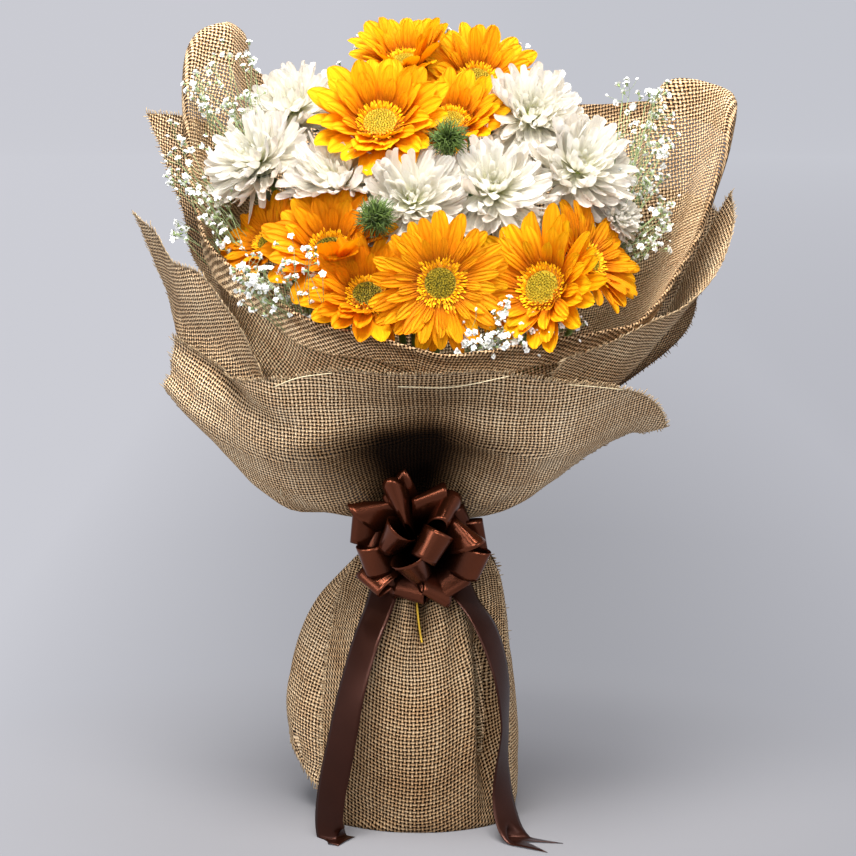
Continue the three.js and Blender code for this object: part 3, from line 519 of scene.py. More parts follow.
def weave_look(name, veil):
    """Open plain weave of jute yarns, with veil as how opaque its holes are; the holes are painted near
    black, as the shade behind the cloth.
    """
    look = Look(name, 0.9, Specular_IOR_Level=0.05)
    uv = look.uv()
    wander = look.vector("SUBTRACT", look.noise(uv, 40.0, 1.0, "Color"), (0.5, 0.5, 0.5))
    wandered = look.vector("ADD", uv, look.vector("SCALE", wander, 0.0026))
    x, y, _ = look.split(look.vector("SCALE", wandered, 1 / (YARN_PITCH * MM)))

    def yarn(across, along, seed):
        """(distance from the yarn's middle, its half width, its number, its own shade)"""
        number = look.math("FLOOR", across)
        kind = look.node("TexWhiteNoise", "Value", {"W": number + seed}, noise_dimensions="1D")
        slub = look.noise(look.combine(along * 0.35, number, seed), 1.0)
        half = kind * 0.04 + (slub * 0.26 + 0.105)
        return look.math("FRACT", across) - 0.5, half, number, kind

    dx, half_x, column_number, kind_x = yarn(x, y, 3.0)
    dy, half_y, row_number, kind_y = yarn(y, x, 47.0)
    over = look.math("PINGPONG", column_number + row_number, 1.0) * 2.0 - 1.0

    def height(off, half, other, sign):
        """(how high the yarn stands, whether there is any yarn)"""
        share = look.math("DIVIDE", off, half)
        rounded = look.math("SUBTRACT", 1.0, share * share)
        inside = look.math("GREATER_THAN", rounded, 0.0)
        body = look.math("SQRT", look.math("MAXIMUM", rounded, 0.0))
        wave = look.math("COSINE", other * math.pi) * over * (0.5 * sign)
        return look.mix(inside, -1.0, body * 0.5 + wave, "FLOAT"), inside

    warp, in_warp = height(dx, half_x, dy, 1.0)
    weft, in_weft = height(dy, half_y, dx, -1.0)
    top = look.math("MAXIMUM", warp, weft)
    is_warp = look.math("GREATER_THAN", warp, weft)
    along = look.mix(is_warp, x, y, "FLOAT")
    across = look.mix(is_warp, y, x, "FLOAT")
    kind = look.mix(is_warp, kind_y, kind_x, "FLOAT")
    fibres = look.noise(look.combine(across * 6.0 + along * 3.0, along * 1.1), 1.0, 3.0)
    colour = look.ramp(look.noise(uv, 24.0) * 0.3 + (kind * 0.14 + fibres * 0.7), JUTE)
    # Painted shade: the yarns are darker and browner where they dip under each other and at their edges,
    # the holes near black, and the attribute's painted cloth shade multiplies in.
    depth = look.math("MAXIMUM", (top + 0.1).held(), 0.012) * look.tint()
    brown = look.combine(depth, look.math("POWER", depth, 1.12), look.math("POWER", depth, 1.25))
    look.set("Base Color", look.mix(1.0, colour, brown, blend="MULTIPLY"))
    look.bump(fibres * 0.35 + top, 0.0011)
    look.set("Alpha", look.math("MAXIMUM", look.math("MAXIMUM", in_warp, in_weft), veil))
    return look.material


def satin_look(name, base, roughness, metallic):
    """Satin: fine weft lines and a tinted, stretched sheen. U runs along the ribbon."""
    look = Look(name, roughness, Metallic=metallic, Anisotropic=0.6, Coat_Weight=0.05)
    u, v, _ = look.split(look.uv())
    threads = look.noise(look.combine(u * 3000, v * 300), 1.0)
    share = threads * 0.5 + look.noise(look.place(), 60.0) * 0.5
    sheen = look.mix(share, [c * 0.7 for c in base], [c * 1.25 for c in base])
    # The attribute darkens the colour towards black: painted shade between the bow's loops, and an even
    # share on the other ribbon.
    look.set("Base Color", look.mix(look.tint(), BLACK, sheen))
    look.bump(threads, 0.00012, 0.5)
    return look.material


YELLOW = petal_look(
    "yellow_petal",
    root=(0.42, 0.075, 0.002),
    middle=(0.90, 0.27, 0.001),
    tips=((0.92, 0.28, 0.001), (0.96, 0.52, 0.004)),
    rib_count=3.0,
    depth=0.0013,
    through=0.25,
)
# The dull tips are painted shade: the chrysanthemums' outer whorls take them, and their inner whorls are
# painted lighter.
WHITE = petal_look(
    "white_petal",
    root=(0.90, 0.90, 0.50),
    middle=(0.95, 0.925, 0.80),
    tips=((0.82, 0.74, 0.63), (1.0, 0.985, 0.955)),
    rib_count=2.0,
    depth=0.0009,
    through=0.4,
)
DULL = {"Specular_IOR_Level": 0.1}
FLORET = plain_look("yellow_floret", (0.42, 0.10, 0.001), (0.98, 0.48, 0.006), 900.0, 0.55, **DULL)
# Partly the disc's own dark floor and partly painted shade in the gaps between the florets.
DISC_DARK = plain_look("disc_floor", (0.12, 0.025, 0.002), (0.5, 0.18, 0.006), 500.0, 0.8, **DULL)
EYE = plain_look("disc_eye", (0.05, 0.045, 0.003), (0.66, 0.47, 0.03), 700.0, 0.6, **DULL)
GREEN_EYE = plain_look("green_eye", (0.25, 0.32, 0.05), (0.62, 0.68, 0.20), 700.0, 0.6)
STEM = plain_look("green_stem", (0.10, 0.19, 0.04), (0.26, 0.42, 0.12), 120.0, 0.5)
LEAF = plain_look("dark_leaf", (0.012, 0.035, 0.010), (0.05, 0.11, 0.03), 90.0, 0.42, 0.0006)
NEEDLE = plain_look("fern_needle", (0.012, 0.03, 0.004), (0.15, 0.24, 0.035), 200.0, 0.75)
TWIG = plain_look("thin_twig", (0.16, 0.24, 0.08), (0.38, 0.46, 0.22), 200.0, 0.6)
BREATH = plain_look("white_floret", (0.78, 0.80, 0.74), (0.97, 0.97, 0.97), 600.0, 0.6)
BURLAP = weave_look("burlap", 0.97)
OPEN_BURLAP = weave_look("open_burlap", 0.68)
FRAY = plain_look("jute_fibre", (0.24, 0.14, 0.06), (0.64, 0.49, 0.30), 400.0, 0.85)
STRAW = plain_look("loose_straw", (0.55, 0.42, 0.23), (0.78, 0.68, 0.46), 300.0, 0.7)
SATIN = satin_look("brown_satin", (0.19, 0.05, 0.021), 0.17, 0.85)
MATT_SATIN = satin_look("matt_brown_satin", (0.08, 0.0205, 0.0095), 0.35, 0.75)
TWINE = plain_look("twine", (0.30, 0.20, 0.09), (0.60, 0.46, 0.25), 300.0, 0.85)
YELLOW_TIE = plain_look("yellow_tie", (0.75, 0.42, 0.02), (0.95, 0.62, 0.05), 300.0, 0.5)


# ---------------------------------------------------------------- burlap
def sheet_column(places, neck_radius, tucked):
    """A column's control points from its top edge down to its hem."""
    top, belly, foot, throat = [*places, None, None][:4]
    angle = belly[0]
    throat = throat or [neck_radius + THROAT[0], THROAT[1]]
    outer = neck_radius - INNER_NECK
    points = [
        top,
        [(top[0] + angle) / 2, top[1] + 0.48 * (belly[1] - top[1]), top[2] + 0.52 * (belly[2] - top[2])],
        belly,
        [angle, *throat],
        [angle, neck_radius, NECK_Z + NECK_HALF],
        [angle, neck_radius, NECK_Z - NECK_HALF + OVERLIE[0] * outer],
    ]
    if not foot:
        return points + [[angle, neck_radius, NECK_Z - 2 * NECK_HALF]]
    foot_angle, foot_radius, foot_z = foot
    turn = foot_angle - angle
    side = math.sin(math.radians(angle + 0.3 * turn))
    shoulder = SHOULDER[0] * neck_radius + SHOULDER[1 if side > 0 else 2] * side**4
    points += [
        [angle + 0.3 * turn, shoulder, NECK_Z - SHOULDER_DROP + OVERLIE[1] * outer],
        [angle + 0.7 * turn, shoulder + 0.66 * (foot_radius - shoulder), NECK_Z - WAIST_DROP],
        [foot_angle, foot_radius + 1, foot_z + 0.75 * (FLANK_Z - foot_z)],
        foot,
    ]
    if tucked:
        points.append([foot_angle, foot_radius - TUCK, HEM])
    return points


def crumple(points, seed=5, waves=30):
    """Small unevenness that is the same for every sheet at one place, about 1 high."""
    rng = np.random.default_rng(seed)
    total = np.zeros(points.shape[:-1])
    for _ in range(waves):
        way = unit(rng.normal(size=3))
        length = rng.uniform(16, 70)
        phase = rng.uniform(0, 2 * np.pi)
        total += np.sin(points @ way * (2 * np.pi / length) + phase) * (length / 45)
    return total / math.sqrt(waves)


def folds(angle, z):
    """How far the gathered cloth stands out in its folds, the same for every sheet."""
    a = np.radians(angle)
    up = z - NECK_Z
    gathered = ease(9, 26, np.abs(up)) * np.exp(-np.abs(up) / 45)
    pleats = np.cos(11 * a + 0.6) + 0.8 * np.cos(17 * a + 2.1) + 0.5 * np.cos(29 * a + 4.0)
    soft = np.sin(5 * a + 1.1 + z / 70) + 0.6 * np.sin(8 * a - z / 45 + 2.0)
    return 2.4 * gathered * pleats + 1.5 * soft * ease(40, 120, np.abs(up))


def valley_height(angle):
    """Where the front sheet's left corner is folded in, as a height by angle."""
    return 352 - 1.1 * (angle + 73)


# Local forms of a sheet, each (how much, angle, its half width, height, its half height).
# The front sheet's folds under the bow: a crease, its two sides, a deep hollow and its lip.
FRONT_FOLDS = [
    (-16.0, 3, 5.0, 170, 30),
    (7.0, 15, 7, 160, 30),
    (7.0, -8, 6, 160, 30),
    (-22.0, 43, 6.0, 92, 56),
    (7.0, 33, 6, 94, 52),
]
# Its painted light and shade: a painted shadow under the blooms, painted light on the ridge beside it,
# painted shade in the hollow and in the crease.
FRONT_PAINTED_SHADING = [
    (-0.62, 4, 23, 336, 22),
    (0.18, 40, 14, 300, 30),
    (-0.45, 44, 6, 92, 54),
    (-0.5, 3, 4, 172, 26),
]


def bumps(rows, angle, z):
    return [much * bump(angle, at, half) * bump(z, up, tall) for much, at, half, up, tall in rows]


def front_folds(angle, z):
    """The front sheet's own folds, and the valley where its left corner is folded in."""
    valley = -11.0 * bump(z - valley_height(angle), 0, 11) * bump(angle, -62, 17)
    return sum(bumps(FRONT_FOLDS, angle, z)) + valley


def inner_folds(angle, z):
    """The inner sheet's high left corner stands like a rolled column, and the right one too."""
    high = ease(420, 500, z)
    left = -15.0 * bump(angle, -108, 8.0) + 7.0 * bump(angle, -125, 4.5)
    right = -17.0 * bump(angle, -256, 5.0) + 4.0 * bump(angle, -248, 3.5) + 3.0 * bump(angle, -266, 5.0)
    return left * high + right * ease(380, 460, z)


def row_places(controls):
    """Where the rows of a fine sheet lie along its control points, about evenly."""
    counts = [max(2, math.ceil(length / CLOTH_STEP)) for length in steps(polar(controls), 1).mean(0)]
    return np.concatenate([[0.0], *(i + np.arange(1, n + 1) / n for i, n in enumerate(counts))])


def normals_of(points, closed=False):
    """Unit normals of a grid, pointing away from the upright axis."""
    if closed:
        wide = np.concatenate([points[:, -2:-1], points, points[:, 1:2]], 1)
        across = (wide[:, 2:] - wide[:, :-2]) / 2
    else:
        across = np.gradient(points, axis=1)
    normal = unit(np.cross(across, np.gradient(points, axis=0)))
    outward = (normal[..., :2] * points[..., :2]).sum(-1).mean()
    return normal * (1 if outward > 0 else -1)


def fan_layout(wide, depth, neck, bend):
    """A first flat layout: the columns fan out above the binding, and below it if they go on."""
    top = wide[: neck // 2].mean(0)
    gathered = 0.42 * top
    middle = depth[: neck // 2].mean(0)
    turns = running((top - gathered) * 2 / (middle[1:] + middle[:-1]))
    turns -= turns.mean()
    share = bend * (turns[1:] + turns[:-1]) / 2
    base = running(gathered[:, None] * grid_of(np.cos(share), -np.sin(share)))
    flat = base + grid_of(np.sin(turns), np.cos(turns)) * depth[..., None]
    if bend < 1:
        spread = running((wide[-12:-4].mean(0) - gathered) / FOOT_LENGTH)
        spread = spread.mean() - spread
        flat[neck:] = base + grid_of(np.sin(spread), np.cos(spread)) * depth[neck:, :, None]
    return flat


# Which neighbours hold the cloth together while it settles flat, and how stiffly.
LINKS = [((0, 1), 1.0), ((1, 0), 1.0), ((1, 1), 0.5), ((1, -1), 0.5)]


def flat_cloth(points, closed):
    """Lays a grid of the sheet out flat: it gathers at the binding and hardly stretches."""
    rows, cols = points.shape[:2]
    depth = -running(steps(points))
    height = points[..., 2]
    neck = np.abs(height.mean(1) - NECK_Z).argmin()
    depth -= depth[neck]
    flat = fan_layout(steps(points, 1), depth, neck, 1.0 if closed else 0.0)
    gathers = 1 - 0.93 * bump(height, NECK_Z, 42)
    for _ in range(SETTLING_PASSES):
        move = np.zeros_like(flat)
        weight = np.full((rows, cols, 1), 1e-6)
        for (di, dj), stiff in LINKS:
            a = (slice(0, rows - di), slice(max(0, -dj), cols - max(0, dj)))
            b = (slice(di, rows), slice(max(0, dj), cols - max(0, -dj)))
            rest = np.linalg.norm(points[b] - points[a], axis=-1, keepdims=True)
            gap = flat[b] - flat[a]
            length = np.maximum(np.linalg.norm(gap, axis=-1, keepdims=True), 1e-6)
            share = stiff * np.where(length < rest, 1.0, gathers[a][..., None])
            step = gap / length * (length - rest) / 2 * share
            move[a] += step
            move[b] -= step
            weight[a] += share
            weight[b] += share
        flat += move / weight * 0.9
    return flat


class Sheet:
    """One burlap sheet: its fine surface, its flat layout and its edges."""

    def __init__(self, columns, layer, closed=False, tucked=False, front=False):
        neck_radius = INNER_NECK + layer * CLOTH_LAYER
        controls = np.array([sheet_column(places, neck_radius, tucked) for places in columns], float)
        self.closed, self.tucked = closed, tucked
        if closed:
            turn = np.array([360.0, 0, 0])
            controls = np.concatenate([controls[-2:] + turn, controls, controls[:3] - turn])
        count = math.ceil(steps(polar(controls[:, 0])).sum() / CLOTH_STEP)
        spare = 2 if closed else 0
        across = np.linspace(spare, len(controls) - 1 - spare, count + 1)
        down = row_places(controls)
        fine = spline(spline(controls, across).swapaxes(0, 1), down)
        fine[..., 2] = np.maximum(fine[..., 2], HEM)
        angle, z = fine[..., 0], fine[..., 2]
        points = polar(fine)
        height = folds(angle, z) + 0.8 * crumple(points)
        if front:
            height += front_folds(angle, z)
        if closed:
            height += inner_folds(angle, z)
        rim_waves = np.sin(np.radians(angle) * 9 + layer * 2.2)
        height += 2.2 * rim_waves * (1 - ease(0, 1.6, down))[:, None]
        self.points = points + normals_of(points, closed) * (height * ease(0, 12, z))[..., None]
        self.normals = normals_of(self.points, closed)
        self.lay_flat()

    def lay_flat(self):
        """Lays a coarse grid of the sheet flat, and takes the UVs from splines through it."""
        rows, cols = self.points.shape[:2]
        i = np.unique(np.linspace(0, rows - 1, FLAT_ROWS).round().astype(int))
        j = np.unique(np.linspace(0, cols - 1, max(20, cols // 4)).round().astype(int))
        flat = flat_cloth(self.points[np.ix_(i, j)], self.closed)
        at = np.interp(np.arange(rows), i, np.arange(len(i)))
        by = np.interp(np.arange(cols), j, np.arange(len(j)))
        self.uv = spline(spline(flat, at).swapaxes(0, 1), by).swapaxes(0, 1) * MM

    def fold_hem(self, depth, roundness):
        """Folds the top edge outward and down by depth, round the given radius by column."""
        r = roundness[:, None]
        down = running(steps(self.points[:, 0]))
        lean = (1 - ease(0, 45, down))[:, None, None] * (r - HEM_ROUND) * 1.2
        self.points = self.points - self.normals * lean
        top, normal = self.points[0], self.normals[0]
        up = unit(self.points[0] - self.points[2])
        rows, v = [], []
        for turn in np.radians([36, 72, 108, 144, 180]):
            rows.append(top + r * (np.sin(turn) * up + (1 - np.cos(turn)) * normal))
            v.append(r[:, 0] * turn)
        for share in (0.25, 0.5, 0.75, 1.0):
            flare = 1.2 * share * normal
            rows.append(top + 2 * r * normal - depth * share * up + flare)
            v.append(r[:, 0] * np.pi + depth * share)
        rows, v = rows[::-1], v[::-1]
        step = unit(np.append(self.uv[0] - self.uv[2], np.zeros((len(top), 1)), 1))[:, :2]
        hem_uv = np.stack([self.uv[0] + step * d[:, None] * MM for d in v])
        self.points = np.concatenate([np.stack(rows), self.points])
        self.uv = np.concatenate([hem_uv, self.uv])
        self.normals = normals_of(self.points, self.closed)

    def edges(self):
        """(points, outward directions, normals) along each raw edge."""
        p, n = self.points, self.normals
        found = [(p[0], unit(p[0] - p[1]), n[0])]
        if self.closed:
            return found
        if not self.tucked:
            found.append((p[-1], unit(p[-1] - p[-2]), n[-1]))
        for side, beside in ((0, 1), (-1, -2)):
            found.append((p[:, side], unit(p[:, side] - p[:, beside]), n[:, side]))
        return found

    def flat_size(self):
        flat = self.uv.reshape(-1, 2)
        return tuple(float(x) for x in flat.max(0) - flat.min(0))

    def flat_area(self):
        a = self.uv[1:, 1:] - self.uv[:-1, :-1]
        b = self.uv[1:, :-1] - self.uv[:-1, 1:]
        return float(np.abs(a[..., 0] * b[..., 1] - a[..., 1] * b[..., 0]).sum() / 2)


def fray(shape, edges, rng, reaches):
    """Short yarn ends that stick out of each raw edge, a few more than its yarns."""
    for (points, outward, normal), mean in zip(edges, reaches):
        lengths = running(steps(points))
        for at in np.arange(0.5, lengths[-1], YARN_PITCH * 0.8):
            p, way, up = (
                np.array([np.interp(at, lengths, line[:, k]) for k in range(3)])
                for line in (points, outward, normal)
            )
            along = unit(np.cross(way, up))
            reach = mean * rng.gamma(9, 1 / 9)
            lean = way + along * rng.normal(0, 0.12) + up * rng.normal(0, 0.15)
            tip = p + lean * reach + up * rng.normal(0, 0.1) * reach
            middle = (p + tip) / 2 + (up + along) * rng.normal(0, 0.2)
            if min(middle[2], tip[2]) < 0.4:
                continue
            start = p - way * 1.5
            shape.tube([start, middle, tip], [0.55, 0.45, 0.18], 3, rng.uniform(0, 1))


SHEETS = {
    "burlap_inner": Sheet(INNER_SHEET, 0, closed=True),
    "burlap_right": Sheet(RIGHT_SHEET, 1),
    "burlap_back": Sheet(BACK_SHEET, 2, tucked=True),
    "burlap_left": Sheet(LEFT_SHEET, 3),
    "burlap_front": Sheet(FRONT_SHEET, 4, tucked=True, front=True),
}


def painted_cloth_shade(name, points):
    """Painted light and shade on the yarns: a near black painted shadow in the hollow over the bow,
    painted shade in the gathers, on the foot and in the folds, and painted light above the foot.
    """
    angle, z = angle_of(points), points[..., 2]
    # Painted shade in the gathers at the binding.
    shade = 1 - 0.35 * bump(z, NECK_Z, 20)
    if name == "burlap_front":
        # On the front sheet: a near black painted shadow in the hollow over the bow, painted light above
        # the binding and painted shade on the foot.
        reach = 13 + 0.9 * np.clip(322 - z, 0, 30)
        across = ease(1.3, 0.3, np.abs(angle + 2) / reach)
        shade *= 1 - 0.985 * across * ease(332, 304, z - 0.15 * angle) * ease(222, 236, z)
        shade *= 1.22 - 0.5 * ease(225, 180, z) - 0.22 * ease(130, 20, z)
        # Painted shadow under the blooms, painted light beside it, painted shade in the hollow and the
        # crease.
        for change in bumps(FRONT_PAINTED_SHADING, angle, z):
            shade *= 1 + change
        # Painted shade in the valley where the left corner is folded in.
        shade *= 1 - 0.6 * bump(z - valley_height(angle), 0, 9) * bump(angle, -62, 16)
    if name == "burlap_inner":
        # Painted shade on the inner sheet's right side and painted light on its front left.
        shade *= 1 - 0.16 * bump(angle, 97, 50) + 0.45 * bump(angle, -52, 24) * bump(z, 385, 50)
    return shade


def drag(points):
    """How far, in metres, the gathering drags the foot's weave down at its middle."""
    side = np.clip((angle_of(points) + 4) / 45, -1.4, 1.4)
    return 0.021 * side**2 * ease(205, 140, points[..., 2])


def hem_roundness(sheet):
    """The inner sheet's hem is rolled widely at its two high corners."""
    angle = angle_of(sheet.points[0]) % 360
    return HEM_ROUND + 5.5 * bump(angle, 251, 14) + 5.0 * bump(angle, 97, 11)


def make_sheets():
    inner = SHEETS["burlap_inner"]
    roundness = hem_roundness(inner)
    inner.fold_hem(HEM_DEPTH, roundness)
    for number, (name, sheet) in enumerate(SHEETS.items()):
        tint = painted_cloth_shade(name, sheet.points)
        uv = sheet.uv.copy()
        # The inner sheet's hem gets painted shade where it is rolled tightly, so that its fold does not
        # catch the light.
        if sheet.closed:
            tint[3:11] *= 1 - 0.45 * ease(5, 2, roundness)
        if name == "burlap_front":
            uv[..., 1] -= drag(sheet.points)
        shape = Shape()
        shape.grid(sheet.points, uv=uv, tint=tint)
        weave = OPEN_BURLAP if sheet.closed else BURLAP
        cloth = finished(shape, name + "_cloth", [weave], "burlap", name)
        fringe = Shape()
        reaches = [1.0] if sheet.closed else [2.6, 3.8, 3.8, 3.8]
        fray(fringe, sheet.edges(), np.random.default_rng(200 + number), reaches)
        fringe = finished(fringe, name + "_fray", [FRAY], "burlap")
        sheet.flat_size()
        sheet.flat_area()


make_sheets()


# ---------------------------------------------------------------- petals
def strap(length, width, rise, curl=0.0, cup=0.15, twist=0.0, sway=0.0, blunt=0.5, ribs=0.0,
          tip=0.0, root=0.4, widest=0.65, rows=12, cols=7):
    """A petal along +X from its root, facing +Z, as rows of points. Angles are in degrees."""
    t, s = column(0, 1, rows), np.linspace(-1, 1, cols)
    grow = root + (1 - root) * np.sin(0.5 * np.pi * np.clip(t / widest, 0, 1))
    late = np.clip((t - widest) / (1 - widest), 0, 1)
    half = 0.5 * width * grow * np.sqrt(np.clip(1 - (1 - blunt**2) * late**2.5, 0, 1))
    slope = np.radians(rise + curl * t + tip * t**4)
    along, up = np.cos(slope), np.sin(slope)
    mean = (slope[1:] + slope[:-1]) / 2
    step = length / (rows - 1)
    turn = np.radians(twist) * t
    y = s * half
    lift = cup * np.abs(s) ** 1.6 * half + ribs * np.cos(2.5 * np.pi * s) * np.sqrt(t)
    pull = -half * 0.55 * s**2 * t**6
    off = y * np.sin(turn) + lift * np.cos(turn)
    px = running(np.cos(mean) * step) + pull * along - off * up
    pz = running(np.sin(mean) * step) + pull * up + off * along
    return grid_of(px, y * np.cos(turn) - lift * np.sin(turn) + sway * length * t**2, pz)


class Obstacles:
    """What is already in place, so that petals can bend clear of it and twigs and leaves keep clear of
    it.
    """

    def __init__(self):
        self.items = []

    def add(self, owner, shape):
        points = np.concatenate(shape.points)
        self.items.append((owner, points.min(0) - 1, points.max(0) + 1, shape.tree()))

    def hits(self, grid, owner):
        """How many faces of others the grid crosses."""
        low, high = grid.reshape(-1, 3).min(0), grid.reshape(-1, 3).max(0)
        close = [
            tree
            for name, a, b, tree in self.items
            if name != owner and (a < high).all() and (low < b).all()
        ]
        if not close:
            return 0
        one = Shape()
        one.grid(grid[::2, ::2] if grid.shape[0] > 6 else grid)
        tree = one.tree()
        return sum(len(tree.overlap(other)) for other in close)


obstacles = Obstacles()
for cloth_name in ("burlap_inner", "burlap_front", "burlap_right", "burlap_left"):
    cloth_shape = Shape()
    cloth_shape.grid(SHEETS[cloth_name].points[::2, ::2])
    obstacles.add("burlap", cloth_shape)

BENDS = [0, -7, 7, -14, 14, -22, 22, -32, 32, -44, 44]  # tried in turn, in degrees


class Head:
    """A flower head, made in its own frame facing +Z and placed in the bunch."""

    def __init__(self, name, at, faces, size=1.0):
        self.name, self.size = name, size
        self.at = np.array(at, float)
        self.turn = facing_matrix(direction(*faces))
        self.shape = Shape()

    def put(self, points):
        return (points * self.size) @ self.turn.T + self.at

    def put_round(self, points, root, lift, azimuth):
        """Points that start at root from the middle and at lift, turned round the head."""
        return self.put((points + [root, 0, lift]) @ turned(azimuth).T)

    def lathe(self, profile, sides, middle=(0, 0, 0), **settings):
        self.shape.grid(self.put(lathe(profile, sides) + middle), closed=True, **settings)

    def clear_petal(self, make, *place):
        """The first bend of a petal that is clear, or else the clearest one."""
        best, least = None, None
        for bend in BENDS:
            grid = self.put_round(make(bend), *place)
            found = obstacles.hits(grid, self.name)
            if best is None or found < least:
                best, least = grid, found
            if found == 0:
                break
        return best

    def petals(self, kind, rng, tint, cup=0.0, broad=1.0):
        """Petals in whorls from the outside in, each a little unlike its neighbours."""
        stray = kind["stray"]
        for layer, (count, tip, rise, curl, width, lift, root) in enumerate(kind["whorls"]):
            start = rng.uniform(0, 1)
            count = round(count / broad)
            for k in range(count):
                azimuth = 2 * np.pi * (k + start + rng.normal(0, stray["azimuth"])) / count
                reach = (tip - root) * rng.normal(1, stray["reach"])
                wide = broad * width * rng.normal(1, stray["width"])
                tilt = rise + cup * (0.6 + 0.2 * layer) + rng.normal(0, stray["rise"])
                curve = curl + rng.normal(0, stray["curl"])
                twist = rng.normal(0, stray["twist"])
                sway = rng.normal(0, stray["sway"])
                fold = rng.uniform(*kind["fold"])

                def make(bend):
                    return strap(reach, wide, tilt + bend, curve, fold, twist, sway, **kind["petal"])

                grid = self.clear_petal(make, root, lift, azimuth)
                u = column(kind["first_u"], 1, grid.shape[0]) * min(1.0, 1.3 - kind["inner_u"] * layer)
                uv = grid_of(u, np.linspace(0, 1, grid.shape[1]))
                # Each whorl inward is painted a little lighter: painted shade on the outer whorls.
                shade = tint + kind["inner_painted_light"] * layer + rng.normal(0, stray["tint"])
                self.shape.grid(grid, uv=uv, tint=np.clip(shade, 0, 1))

    def finish(self, looks, slot):
        finished(self.shape, self.name + "_bloom", looks, slot, self.name)
        obstacles.add(self.name, self.shape)


# Each kind of bloom: its whorls from the outside in, as (count, tip, rise, curl, width, lift,
# root), what every petal has, how far the petals stray from that, how much they fold along
# their middle, how the colours change from whorl to whorl, and how much lighter each whorl is
# painted than the one outside it: painted shade on the outer whorls.
GERBERA = {
    "whorls": [
        (20, 50.5, 1, 8, 11.0, -0.8, 13),
        (20, 47, 8, 4, 10.0, 0.2, 13),
        (17, 41, 16, 0, 8.4, 1.0, 14),
        (13, 33, 24, -4, 6.2, 1.6, 15),
    ],
    "petal": {"blunt": 0.5, "ribs": 0.45, "tip": -8, "root": 0.38, "widest": 0.62},
    "stray": {"azimuth": 0.13, "reach": 0.055, "width": 0.07, "rise": 3.0, "curl": 8, "twist": 12,
              "sway": 0.05, "tint": 0.2},
    "fold": (0.05, 0.4),
    "first_u": 0,
    "inner_u": 0,
    "inner_painted_light": 0,
}
CHRYSANTHEMUM = {
    "whorls": [
        (27, 40, -18, 30, 7.3, -3.4, 8),
        (29, 41, -5, 26, 7.2, -1.6, 7),
        (28, 39, 8, 22, 7.1, 0.0, 6.5),
        (26, 36, 20, 20, 6.8, 1.6, 6),
        (22, 31, 33, 20, 6.3, 2.8, 5),
        (18, 24, 46, 22, 5.5, 3.6, 4),
        (13, 16, 60, 22, 4.3, 4.0, 3),
        (8, 9, 72, 16, 3.1, 4.4, 1.5),
    ],
    "petal": {"blunt": 0.8, "ribs": 0.12, "tip": 22, "root": 0.45, "widest": 0.6, "rows": 10},
    "stray": {"azimuth": 0.16, "reach": 0.07, "width": 0.1, "rise": 7, "curl": 18, "twist": 32,
              "sway": 0.14, "tint": 0.25},
    "fold": (0.2, 0.9),
    "first_u": 0.15,
    "inner_u": 0.11,
    "inner_painted_light": 0.08,
}
GERBERA_CALYX = [(2.5, -16), (5.5, -13.5), (9.5, -9), (12.5, -5), (13.5, -2.6), (9, -1.2)]
CHRYSANTHEMUM_CALYX = [(2, -14), (4.5, -12), (8, -7.5), (9.5, -4.5), (7, -2.5)]
FLORET_RINGS = [(10.6, 38), (11.8, 44), (13.2, 50), (14.8, 56), (16.6, 60), (18.4, 54)]
FLORET_TINTS = np.array([[-0.08], [0.4], [0.94], [1.24]])  # from root to tip
BUD_TINTS = np.array([[-0.2], [0.4], [1.0]])
BRACTS = 15


def gerbera(name, at, faces, size, cup, yellow, broad, seed):
    """Ray petals, rings of short florets round an eye of tight buds, and a green calyx."""
    rng = np.random.default_rng(seed)
    head = Head(name, at, faces, size)
    head.petals(GERBERA, rng, yellow, cup, broad)
    # The dark disc under the florets: the disc's floor, and painted shade in their gaps.
    head.lathe([(11, 2.05), (12, 2.0), (20, 0.8), (24, -0.6)], 28, look=1)
    head.lathe([(0, 2.2), (6, 2.4), (11, 2.05)], 28, tint=yellow - 0.4, look=3)
    for ring, (radius, count) in enumerate(FLORET_RINGS):
        for k in range(count):
            azimuth = 2 * np.pi * (k + rng.uniform(-0.3, 0.3)) / count
            rise = 64 - 10 * ring + cup * 0.5 + rng.normal(0, 12)
            length = rng.uniform(3.2, 5.4) + 0.2 * ring
            curl, twist = rng.normal(-25, 18), rng.normal(0, 30)
            petal = strap(length, 1.5, rise, curl, 0.1, twist, blunt=0.35, root=0.7, rows=4, cols=2)
            tint = FLORET_TINTS + rng.normal(0, 0.08) + 0.3 * (yellow - 0.5)
            head.shape.grid(head.put_round(petal, radius, 1.0, azimuth), tint=tint, look=2)
    for radius, x, y in spiral(110, 10.2):
        bud = np.array([(0.62, 0), (0.62, 0.8), (0.25, 1.5)]) * (0.75 + 0.045 * radius)
        tint = BUD_TINTS * (0.5 + 0.06 * radius) + 1.5 * (yellow - 0.65)
        head.lathe(bud, 5, (x, y, 2.0 + 0.13 * radius - 0.02 * radius**2), tint=tint, look=3)
    head.lathe(GERBERA_CALYX, 16, look=4)
    for row in range(2):
        for k in range(BRACTS):
            azimuth = 2 * np.pi * (k + 0.5 * row) / BRACTS
            bract = strap(11.5, 3.0, 62 - 16 * row, -22, 0.3, blunt=0.15, rows=5, cols=3)
            grid = head.put_round(bract, 7.0 + 2.2 * row, -12.4 + 3.0 * row, azimuth)
            head.shape.grid(grid, tint=rng.uniform(0, 0.8), look=4)
    head.finish([YELLOW, DISC_DARK, FLORET, EYE, STEM], "yellow_petal")


